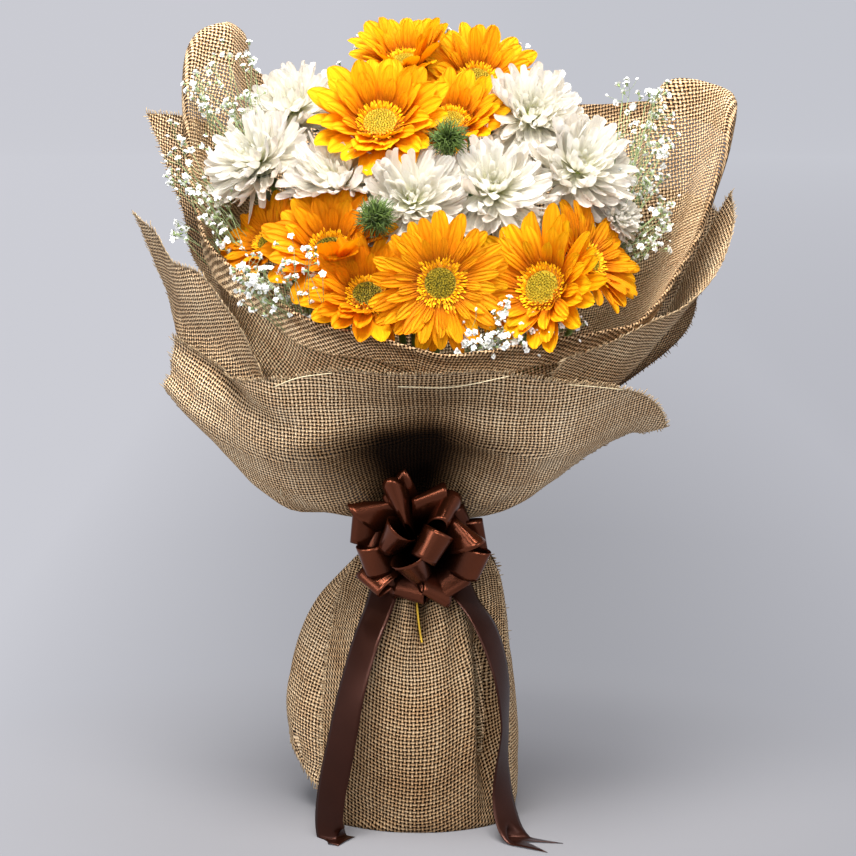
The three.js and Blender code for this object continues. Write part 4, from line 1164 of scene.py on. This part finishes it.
def chrysanthemum(name, at, faces, size, seed):
    """Channelled strap petals in whorls that close towards a small green centre."""
    rng = np.random.default_rng(seed)
    head = Head(name, at, faces, size)
    head.petals(CHRYSANTHEMUM, rng, 0.4)
    head.lathe([(0, 5.6), (2.6, 5.2), (4.5, 3.8), (6, 0)], 12, look=1)
    for radius, x, y in spiral(26, 3.6):
        middle = (x, y, 5.2 - 0.12 * radius**2)
        head.lathe([(0.5, 0), (0.5, 1.2), (0.15, 2.0)], 5, middle, tint=rng.uniform(0.2, 1), look=1)
    head.lathe(CHRYSANTHEMUM_CALYX, 14, look=2)
    head.finish([WHITE, GREEN_EYE, STEM], "white_petal")


GERBERA_CORE = [(1, -12), (12, -6), (22, 1), (20, 6), (0, 7)]
CHRYSANTHEMUM_CORE = [(1, -12), (9, -5), (13, 6), (0, 15)]

# Cores first, so that no petal crosses a neighbour's disc.
for name, (at, faces, size, *_) in {**GERBERAS, **CHRYSANTHEMUMS}.items():
    core = Head(name, at, faces, size)
    core.lathe(GERBERA_CORE if name in GERBERAS else CHRYSANTHEMUM_CORE, 12)
    obstacles.add(name, core.shape)
for number, (name, bloom) in enumerate(GERBERAS.items()):
    gerbera(name, *bloom, seed=10 + number)
for number, (name, bloom) in enumerate(CHRYSANTHEMUMS.items()):
    chrysanthemum(name, *bloom, seed=40 + number)


# ---------------------------------------------------------------- stems
STEM_STRAIGHT = 12  # on each side of the binding
STEM_START = NECK_Z + STEM_STRAIGHT
SPRAY_PIVOT = 60  # above the binding, where the sprays' directions meet
STEM_CURVE = 250
NOD = [14, 40]  # from a head to its stem's bend: at least, and more as it faces outward
NOD_DROP = 16
SPRAY_DEPTH = 0.16  # share of the way down to the binding at which a spray's stem ends
UNDERSIDES = {"gerbera": 8, "chrysanthemum": 10}  # from a bloom's middle down to its stem
LEAVES = 9


def binding_slots(count):
    """Places in the binding: a hexagonal pack, from the middle out."""
    slots = [
        (STEM_PITCH * (a + b / 2), STEM_PITCH * b * math.sqrt(0.75))
        for a in range(-5, 6)
        for b in range(-5, 6)
    ]
    slots.sort(key=lambda p: (math.sqrt(p[0] * p[0] + p[1] * p[1]), math.atan2(-p[1], -p[0])))
    return [np.array(p) for p in slots[:count]]


def assign_slots(leans):
    """Stems go to slots so that no two have to cross on the way up."""
    slots = binding_slots(len(leans))
    swapped = True
    while swapped:
        swapped = False
        for i in range(len(slots)):
            for j in range(i):
                if (slots[i] - slots[j]) @ (leans[i] - leans[j]) < 0:
                    slots[i], slots[j] = slots[j], slots[i]
                    swapped = True
    return slots


def spread_at(rise):
    return rise * (1 + rise / STEM_CURVE)


def stem_top(name):
    """(top, bend, lean) of a head's stem."""
    if name in SPRAYS:
        at, half_height, *stem_end = SPRAYS[name]
        if stem_end:
            top = np.array(stem_end[0], float)
        else:
            top = at + SPRAY_DEPTH * (np.array([0, 0, NECK_Z]) - at)
            top[2] -= half_height / 2
        facing = unit(top - [0, 0, NECK_Z + SPRAY_PIVOT])
    else:
        at, faces, *rest = {**GERBERAS, **CHRYSANTHEMUMS, **FERN_TIPS}[name]
        facing = direction(*faces)
        under = UNDERSIDES.get(name.split("_")[0])
        top = at - facing * (under * rest[0] + SEAT if under else 0)
    bend = top - facing * (NOD[0] + NOD[1] * (1 - facing[2]))
    bend[2] -= NOD_DROP
    return top, bend, bend[:2] / spread_at(bend[2] - STEM_START)


def stem_line(name, calyx=False):
    """Points and radii of a stem from its cut end on the floor to its head."""
    top, bend, _ = tops[name]
    slot = slots[name]
    start = np.array([*slot, STEM_START])
    points = [[*(slot * FOOT_SPREAD), 0.3], [*slot, NECK_Z - STEM_STRAIGHT], start]
    rise = bend[2] - STEM_START
    for share in (0.35, 0.7):
        point = start + (bend - start) * spread_at(rise * share) / spread_at(rise)
        points.append([*point[:2], STEM_START + rise * share])
    points += [bend, top]
    radii = [3.0, 3.0, 3.0, 2.7, 2.7, 2.4, 2.4 if calyx else 1.5]
    ts = np.linspace(0, len(points) - 1, 40)
    line = spline(np.array(points, float), ts)
    line[:, 2] = np.maximum(line[:, 2], 0.3)
    return line, np.interp(ts, range(len(radii)), radii)


# Half widths of a lobed leaf, as shares of its length: (share of the way to its tip, half).
LEAF_HALF = [
    (0, 0.04), (0.12, 0.07), (0.3, 0.22), (0.4, 0.11), (0.5, 0.2),
    (0.64, 0.31), (0.74, 0.14), (0.88, 0.12), (1.0, 0.01),
]


def leaf(length, droop, rng):
    """A lobed leaf along +X, folded a little at its rib and drooping to its tip."""
    t, s = column(0, 1, 19), np.linspace(-1, 1, 9)
    half = np.interp(t, *zip(*LEAF_HALF)) * length
    slope = np.radians(10 - droop * t)
    step = length / 18
    y = s * half
    lift = 0.25 * np.abs(y) + 1.2 * np.sin(9 * t + rng.uniform(0, 6)) * np.abs(s)
    x = running(np.cos(slope[1:]) * step) + s**2 * half * 0.35
    z = running(np.sin(slope[1:]) * step)
    return grid_of(x - lift * np.sin(slope), y, z + lift * np.cos(slope))


heads = [*GERBERAS, *CHRYSANTHEMUMS, *FERN_TIPS, *SPRAYS]
tops = {name: stem_top(name) for name in heads}
slots = dict(zip(heads, assign_slots([lean for _, _, lean in tops.values()])))


def add_leaves(shape, name, line, rng):
    """Leaves on a stem below its head, each turned to a side where it is clear."""
    for k in range(LEAVES):
        at = line[int(len(line) * (0.95 - 0.03 * k - 0.02 * rng.random()))]
        for _ in range(9):
            azimuth = rng.uniform(0, 2 * np.pi)
            rise = math.radians(rng.uniform(10, 55))
            c, s = math.cos(rise), math.sin(rise)
            tilt = np.array([[c, 0, -s], [0, 1, 0], [s, 0, c]])
            grid = leaf(rng.uniform(34, 46), rng.uniform(15, 60), rng) @ tilt.T @ turned(azimuth).T + at
            if obstacles.hits(grid, name) == 0:
                shape.grid(grid, tint=rng.uniform(0, 1), look=1)
                break


for number, name in enumerate([*GERBERAS, *CHRYSANTHEMUMS]):
    shape = Shape()
    line, radii = stem_line(name, calyx=True)
    shape.tube(line, radii, 8)
    leafy = name in CHRYSANTHEMUMS
    if leafy:
        add_leaves(shape, name, line, np.random.default_rng(90 + number))
    slot_name = "leafy_stem" if leafy else "green_stem"
    finished(shape, name + "_stalk", [STEM, LEAF], slot_name, name + "_stem")


# ---------------------------------------------------------------- fern tips
NEEDLES = 420


def fern_tip(name, at, faces, seed):
    """A tuft of fine needles on every side but the stem's."""
    rng = np.random.default_rng(seed)
    head = Head(name, at, faces)
    line, radii = stem_line(name)
    head.shape.tube(line, radii * 0.7, 6, 0.3)
    for k in range(NEEDLES):
        z = 1 - 1.7 * (k + 0.5) / NEEDLES
        level, azimuth = math.sqrt(1 - z * z), k * GOLDEN_ANGLE
        way = np.array([level * math.cos(azimuth), level * math.sin(azimuth), z])
        reach = rng.uniform(12, 18.5) * (1 - 0.3 * (z < -0.2))
        bent = unit(way + rng.normal(0, 0.3, 3))
        points = [way * rng.uniform(1, 5), way * 0.4 * reach + bent * 0.25 * reach, bent * reach]
        head.shape.tube(head.put(np.array(points)), [0.42, 0.4, 0.15], 3, rng.uniform(0.0, 1.0))
    finished(head.shape, name + "_needles", [NEEDLE], "fern", name)


for number, (name, (at, faces)) in enumerate(FERN_TIPS.items()):
    fern_tip(name, at, faces, 120 + number)


# ---------------------------------------------------------------- baby's breath
FLORET_CUP = [(0.1, -0.75), (0.32, -0.45), (0.36, 0.05)]
BUD = [(0.1, -1.6), (0.9, -0.4), (0.8, 0.6), (0.1, 1.5)]


def floret(shape, at, way, size, rng):
    """A small double flower: ruffled petals round a green cup."""
    turn = facing_matrix(way)
    for count, rise, length in [(5, 15, 1.0), (5, 42, 0.85), (3, 68, 0.65)]:
        start = rng.uniform(0, 1)
        for k in range(count):
            tilt, curl, twist = (rng.normal(0, angle) for angle in (9, 25, 20))
            petal = strap(length * size, 0.95 * size * length, rise + tilt, curl, 0.3, twist,
                          blunt=0.6, root=0.35, rows=3, cols=3)
            azimuth = 2 * np.pi * (k + start) / count
            grid = (petal @ turned(azimuth).T) @ turn.T + at
            shape.grid(grid, tint=rng.uniform(0.2, 1.0), look=1)
    shape.grid(lathe(FLORET_CUP, 5) * size @ turn.T + at, closed=True)


def twig(shape, a, b, bow, radius, rng):
    """A thin branch from a to b that bows a little."""
    middle = (a + b) / 2 + rng.normal(0, bow, 3)
    points = spline(np.array([a, middle, b]), np.linspace(0, 2, 6))
    shape.tube(points, np.linspace(radius, radius * 0.6, 6), 3, rng.uniform(0.2, 0.9))


def flower_cluster(shape, start, middle, rng):
    """A few small flowers and buds on fine branches round the end of a twig."""
    twig(shape, start, middle, 5.0, 0.4, rng)
    outward = unit(middle - start)
    for _ in range(rng.integers(2, 6)):
        way = unit(outward + rng.normal(0, 0.8, 3))
        tip = middle + way * rng.uniform(4, 15)
        twig(shape, middle, tip, 1.0, 0.2, rng)
        if rng.random() < 0.8:
            floret(shape, tip, way, rng.uniform(2.3, 3.2), rng)
        else:
            grid = lathe(BUD, 6) @ facing_matrix(way).T + tip
            shape.grid(grid, look=1, closed=True)


def spray(name, seed):
    """Clusters of small flowers on twigs from the end of the spray's stem."""
    rng = np.random.default_rng(seed)
    shape = Shape()
    line, radii = stem_line(name)
    shape.tube(line, radii * 0.45, 5, 0.4)
    tail = line[-6:]
    for middle_of_all, spread, clusters in FLOWERS[name]:
        made = 0
        for _ in range(clusters * 40):
            if made == clusters:
                break
            middle = np.array(middle_of_all) + np.array(spread) * rng.uniform(-1, 1, 3)
            start = tail[rng.integers(len(tail))]
            probe = np.linspace(start, middle, 5)[:, None] + np.array([[0, 0, 0], [0.8, 0.8, 0]])
            box = middle + 3.0 * np.array([[[-1, -1, -1], [1, -1, 1]], [[-1, 1, 1], [1, 1, -1]]])
            if obstacles.hits(probe, name) > 5 or obstacles.hits(box, name):
                continue
            flower_cluster(shape, start, middle, rng)
            made += 1
    finished(shape, name + "_flowers", [TWIG, BREATH], "baby_breath", name)


for number, name in enumerate(SPRAYS):
    spray(name, 140 + number)


# ---------------------------------------------------------------- ribbon
BAND_RADIUS = INNER_NECK + (len(SHEETS) - 1) * CLOTH_LAYER + CLOTH / 2 + SEAT
KNOT_RADIUS = 12
BOW_CENTRE = np.array([2, -(BAND_RADIUS + RIBBON + 2 * SEAT + KNOT_RADIUS), NECK_Z])

# The bow's front loops: where the tip is from the bow's centre (right, up, forward), the
# slant of the ribbon's width there, half the loop's height and how conical it is.
FRONT_LOOPS = [
    (-37, 33, 24, 10, 7, -0.5),
    (-17, 37, 38, -70, 6, -0.6),
    (-20, 48, 22, 60, 6, 0.3),
    (6, 42, 30, 25, 7, 0.3),
    (21, 33, 36, 60, 9, 0.15),
    (-50, 15, 20, 85, 6, 0.1),
    (-25, 10, 42, 40, 10, 0.35),
    (10, 5, 48, 60, 12, 0.1),
    (35, 14, 32, -60, 8, 0.4),
    (47, 8, 16, -80, 6, 0.0),
    (-42, -11, 28, 85, 10, 0.1),
    (-5, -17, 42, -70, 12, -0.3),
    (46, -15, 24, 88, 9, 0.1),
    (-39, -29, 24, 5, 6, 0.0),
    (-9, -39, 24, 15, 7, 0.1),
    (27, -34, 22, 0, 6, 0.0),
    (11, -38, 30, -50, 6, 0.2),
]
BACK_LOOPS = 11  # smaller ones behind, evenly round the bow
BOW_RIBBON = 24  # the ribbon's width, as it lies in the bow and the tails
SATIN_THICKNESS = 0.35
BAND_PROUD = 0.9  # how far the satin of the band stands out from its solid
FORK = 26  # depth of the right tail's notch


def loop_points(length, half, cone):
    """A ribbon loop along +X from its pinched root, with its width along Y."""
    turn, s = column(0, 2 * np.pi, 34), np.linspace(-1, 1, 9)
    size = 1 + cone * s
    reach = (1 - np.cos(turn)) / 2
    pinch = 0.25 + 0.75 * ease(0, 0.45, reach)
    x = length * reach * (0.6 + 0.4 * size)
    z = half * 1.35 * np.sin(turn) * reach * size
    return grid_of(x, s * BOW_RIBBON / 2 * pinch, z)


def place_loop(shape, tip, slant, half, cone):
    """A loop from the bow's centre to its tip, its width along the slant seen from the front."""
    length = float(np.linalg.norm(tip))
    way = np.asarray(tip, float) / length
    wide = np.array([math.cos(math.radians(slant)), 0, math.sin(math.radians(slant))])
    wide = unit(wide - (wide @ way) * way)
    basis = np.stack([way, wide, np.cross(way, wide)], 1)
    loop = loop_points(length, half, cone) @ basis.T
    # Painted shade: the loops darken towards the bow's middle and towards the cloth behind them.
    outward = ease(16, 50, np.linalg.norm(loop, axis=2))
    forward = ease(10, 30, -loop[..., 1])
    shade = 0.03 + 0.75 * outward**2 * (0.45 + 0.55 * forward)  # dark between the loops
    shape.grid(loop + BOW_CENTRE, uv=ribbon_uv(loop), tint=shade)
    return 2.05 * length


def ribbon_uv(grid):
    """U along the ribbon and V across it, in metres."""
    u = running(steps(grid).mean(1))[:, None]
    return grid_of(u, np.linspace(0, BOW_RIBBON, grid.shape[1])) * MM


def satin(shape, name, look, node):
    """A piece of ribbon with some thickness, in place of one of the part's solids."""
    piece = finished(shape, name, [look], "satin_ribbon", node)
    solid = piece.modifiers.new("thickness", "SOLIDIFY")
    solid.thickness = SATIN_THICKNESS * MM
    solid.offset = 0
    return piece


def make_bow():
    """Loops in front, smaller loops behind them, and a knot in the middle."""
    shape = Shape()
    length = 0
    for right, up, forward, slant, half, cone in FRONT_LOOPS:
        length += place_loop(shape, (right, -forward, up), slant, half, cone)
    for k in range(BACK_LOOPS):
        around = 2 * math.pi * k / BACK_LOOPS
        tip = (42 * math.cos(around), -9 - 5 * (k % 2), 40 * math.sin(around) - 2)
        length += place_loop(shape, tip, math.degrees(around) + 60 + 25 * (k % 3), 9, 0.1)
    knot = lathe([(0.5, -7), (5, -6), (7.5, -2), (7.5, 3), (5, 6.5), (0.5, 7.5)], 14)
    shape.grid(knot @ facing_matrix([0, -1, 0]).T + BOW_CENTRE, closed=True)
    bow = satin(shape, "satin_bow", SATIN, "ribbon_bow")


TAILS = {
    "ribbon_tail_left": [
        ([-14.4, -30.8, 209.4], -25, 0),
        ([-20.8, -44.6, 195], -26, 6),
        ([-27, -56, 172], -28, 10),
        ([-38, -76, 146], -30, 8),
        ([-48, -88, 112], -30, 6),
        ([-56, -92, 72], -32, 4),
        ([-63, -90, 36], -30, 2),
        ([-65, -86, 11], -26, 0),
        ([-61, -88, 1], -20, 0),
        ([-52, -93, 0.4], -8, 0),
    ],
    "ribbon_tail_right": [
        ([14.4, -30.8, 209.4], 25, 0),
        ([22.8, -43.6, 196], 28, -6),
        ([34, -52, 176], 34, -8),
        ([50, -66, 154], 46, -8),
        ([61, -72, 120], 64, -8),
        ([64, -72, 84], 72, -4),
        ([62, -72, 50], 64, 0),
        ([64, -80, 20], 50, 0),
        ([74, -92, 1.4], 38, 0),
        ([100, -108, 0.4], 30, 0),
    ],
}


def make_tail(name, stations, forked):
    """A tail through its stations, each (place, the way it faces, how its width tips)."""
    ts = np.linspace(0, len(stations) - 1, 70)
    places, facings, tippings = zip(*stations)
    line = spline(places, ts)
    facing = np.interp(ts, range(len(stations)), facings)
    tips = np.interp(ts, range(len(stations)), tippings)
    line[:, 2] = np.maximum(line[:, 2], 0.5)
    along = unit(np.gradient(line, axis=0))
    width = np.stack([direction(a + 90, e) for a, e in zip(facing, tips)])
    width = unit(width - (width * along).sum(1, keepdims=True) * along)
    normal = np.cross(along, width)
    s = np.linspace(-1, 1, 9)
    wave = 0.8 * np.sin(ts * 2.1)[:, None] * s + 0.9 * (1 - s**2)
    grid = line[:, None] + width[:, None] * (s[:, None] * BOW_RIBBON / 2)
    grid = grid + normal[:, None] * wave[..., None]
    if forked:
        share = ease(len(ts) - 16, len(ts) - 1, np.arange(len(ts)))[:, None]
        grid = grid - along[:, None] * (FORK * (1 - np.abs(s)) * share)[..., None]
    grid[..., 2] = np.maximum(grid[..., 2], 0.4)
    shape = Shape()
    shape.grid(grid, uv=ribbon_uv(grid))
    tail = satin(shape, name.replace("ribbon", "satin"), MATT_SATIN, name)


def make_band():
    """The ribbon round the gathered cloth, with a few lengthwise wrinkles."""
    turn, s = column(0, 2 * np.pi, 97), np.linspace(-1, 1, 13)
    wrinkle = 0.5 * np.sin(7 * s + 2 * np.sin(3 * turn)) + 0.4 * np.cos(11 * turn)
    r = BAND_RADIUS + BAND_PROUD + wrinkle
    z = NECK_Z + s * 7.5 + 0.5 * np.sin(5 * turn)
    grid = grid_of(r * np.sin(turn), -r * np.cos(turn), z)
    shape = Shape()
    shape.grid(grid, uv=ribbon_uv(grid))
    band = satin(shape, "satin_band", SATIN, "ribbon_band")
    around = 2 * math.pi * (BAND_RADIUS + BAND_PROUD)
    around * MM


def make_tie():
    """Turns of twine round the stems."""
    shape = Shape()
    turns = 4
    turn = np.linspace(0, 2 * np.pi * turns, 48 * turns)
    r = STEM_BUNDLE + 1.1
    z = NECK_Z - 3.2 + 6.4 * turn / turn[-1]
    shape.tube(grid_of(r * np.sin(turn), -r * np.cos(turn), z), 0.95, 6)
    finished(shape, "twine_turns", [TWINE], "twine", "stem_tie")


def on_sheet(name, angle, z, off):
    """A point just outside a sheet, at the given angle and height."""
    points = SHEETS[name].points
    miss = ((angle_of(points) - angle) * 2.0) ** 2 + (points[..., 2] - z) ** 2
    place = np.unravel_index(miss.argmin(), miss.shape)
    return points[place] + off * SHEETS[name].normals[place]


# Loose straws caught in the cloth: (sheet, angle and height of one end, and of the other).
STRAWS = [
    ("burlap_front", (-5, 345), (22, 353)),
    ("burlap_front", (-38, 344), (-22, 356)),
    ("burlap_front", (52, 336), (36, 352)),
    ("burlap_inner", (-14, 372), (-4, 362)),
    ("burlap_inner", (36, 360), (52, 368)),
    ("burlap_front", (-60, 250), (-52, 262)),
]


def make_straws():
    shape = Shape()
    rng = np.random.default_rng(77)
    for name, low, high in STRAWS:
        middle = ((low[0] + high[0]) / 2, (low[1] + high[1]) / 2)
        points = [on_sheet(name, *place, off) for place, off in ((low, 1.2), (middle, 2.4), (high, 2.5))]
        line = spline(points, np.linspace(0, 2, 12))
        shape.tube(line, np.linspace(0.5, 0.25, 12), 4, rng.uniform(0.3, 1))
    finished(shape, "straws", [STRAW], "burlap")


YELLOW_TIE_PLACES = [(-3, 184), (-2, 166), (0, 150), (3, 140)]  # (angle, height) on the front sheet


def make_yellow_tie():
    """The loose end of the yellow tie, which hangs from under the bow."""
    shape = Shape()
    points = [on_sheet("burlap_front", *place, 1.6) for place in YELLOW_TIE_PLACES]
    shape.tube(spline(points, np.linspace(0, 3, 14)), 0.8, 6, 0.8)
    finished(shape, "yellow_tie_end", [YELLOW_TIE], "twine")


make_straws()
make_yellow_tie()
make_bow()
for tail_name, tail_stations in TAILS.items():
    make_tail(tail_name, tail_stations, tail_name == "ribbon_tail_right")
make_band()
make_tie()

# ---------------------------------------------------------------- stage, light and camera
PIXEL = 0.00075  # metres of the object's upright plane to a pixel of the photograph
PHOTO = 856
DISTANCE = 1.9
ELEVATION = 9
TARGET = Vector((AXIS[0] + 0.0075, AXIS[1], 0.292))
FLOOR_RADIUS = 10000


def make_stage():
    """A wide pale floor that curves up far away. Away from the bunch it glows with painted light in
    place of the lamps' light and shadows, brighter to the left, with a painted shadow in a band behind
    the bunch.
    """
    look = Look("backdrop", 0.9, Specular_IOR_Level=0.1)
    x, y, _ = look.split(look.node("NewGeometry", "Position"))
    away = look.math("SQRT", x * x + y * y)
    # The glow takes over from the lamps close to the bunch: painted light that hides their shadows on
    # the floor.
    far = (away * 2.4 - 0.12).held()
    # Painted light: the glow is darker to the right near the bunch and brighter to the left.
    right = look.mix((away * 0.1).held(), (0.455, 0.46, 0.505), (0.55, 0.56, 0.61))
    glow = look.mix((x * 0.9 + 0.42).held(), (0.59, 0.595, 0.645), right)
    # Painted shadow: the glow darkens in a band behind the bunch, less so far away.
    behind = (look.math("ABSOLUTE", x - 0.06) * -2.0 + 1.0).held()
    behind = look.math("SMOOTH_MIN", behind, 0.85, 0.3)
    shade = behind * (away * -0.42 + 1.45).held() * 0.42
    look.set("Base Color", look.mix(far, (0.255, 0.253, 0.27), BLACK))
    look.set("Emission Color", look.mix(shade, glow, BLACK))
    look.set("Emission Strength", far)
    turns = np.linspace(0.1, 1.5, 12)
    profile = [(1, 0), (600, 0), (1200, 0), (3000, 0), (FLOOR_RADIUS, 0)]
    profile += [(FLOOR_RADIUS + 2000 * math.sin(a), 2000 - 2000 * math.cos(a)) for a in turns]
    shape = Shape()
    shape.grid(lathe([*profile, (12100, 5000)], 96), closed=True)
    shape.object("backdrop", [look.material])


def place_looking(name, data, place, target):
    """An object at its place that looks at the target."""
    made = bpy.data.objects.new(name, data)
    made.location = place
    made.rotation_euler = (Vector(target) - Vector(place)).to_track_quat("-Z", "Y").to_euler()
    bpy.context.scene.collection.objects.link(made)
    return made


# The lamps, which all look at the bunch: place, size, power and colour.
LAMPS = {
    "key": ((-0.1, -0.85, 2.15), (1.1, 0.9), 92, (1, 0.98, 0.95)),
    "fill": ((1.5, -1.7, 0.9), (0.8, 0.8), 7, (0.97, 0.98, 1)),
    "front": ((-0.3, -2.5, 1.35), (1.2, 1.0), 29, (1, 0.99, 0.97)),
    "left_fill": ((-1.6, -1.5, 0.9), (0.8, 0.8), 8, (0.97, 0.98, 1)),
    "top": ((0.2, 0.4, 2.3), (1.0, 1.0), 28, (1, 1, 1)),
}


def make_light():
    world = bpy.data.worlds.new("studio")
    bpy.context.scene.world = world
    world.use_nodes = True
    sky = world.node_tree.nodes["Background"].inputs
    sky["Color"].default_value = (0.93, 0.94, 1.0, 1)
    sky["Strength"].default_value = 0.26
    for name, (place, size, power, colour) in LAMPS.items():
        data = bpy.data.lights.new(name, "AREA")
        data.shape = "RECTANGLE"
        data.size, data.size_y = size
        data.energy = power
        data.color = colour
        place_looking(name, data, place, (0, 0, 0.3))


def make_camera():
    data = bpy.data.cameras.new("camera")
    data.sensor_width = 36
    data.lens = data.sensor_width * DISTANCE / (PIXEL * PHOTO)
    data.clip_start, data.clip_end = 0.05, 60
    rise = math.radians(ELEVATION)
    place = TARGET + DISTANCE * Vector((0, -math.cos(rise), math.sin(rise)))
    bpy.context.scene.camera = place_looking("camera", data, place, TARGET)


make_stage()
make_light()
make_camera()
bpy.context.scene.view_settings.view_transform = "Standard"
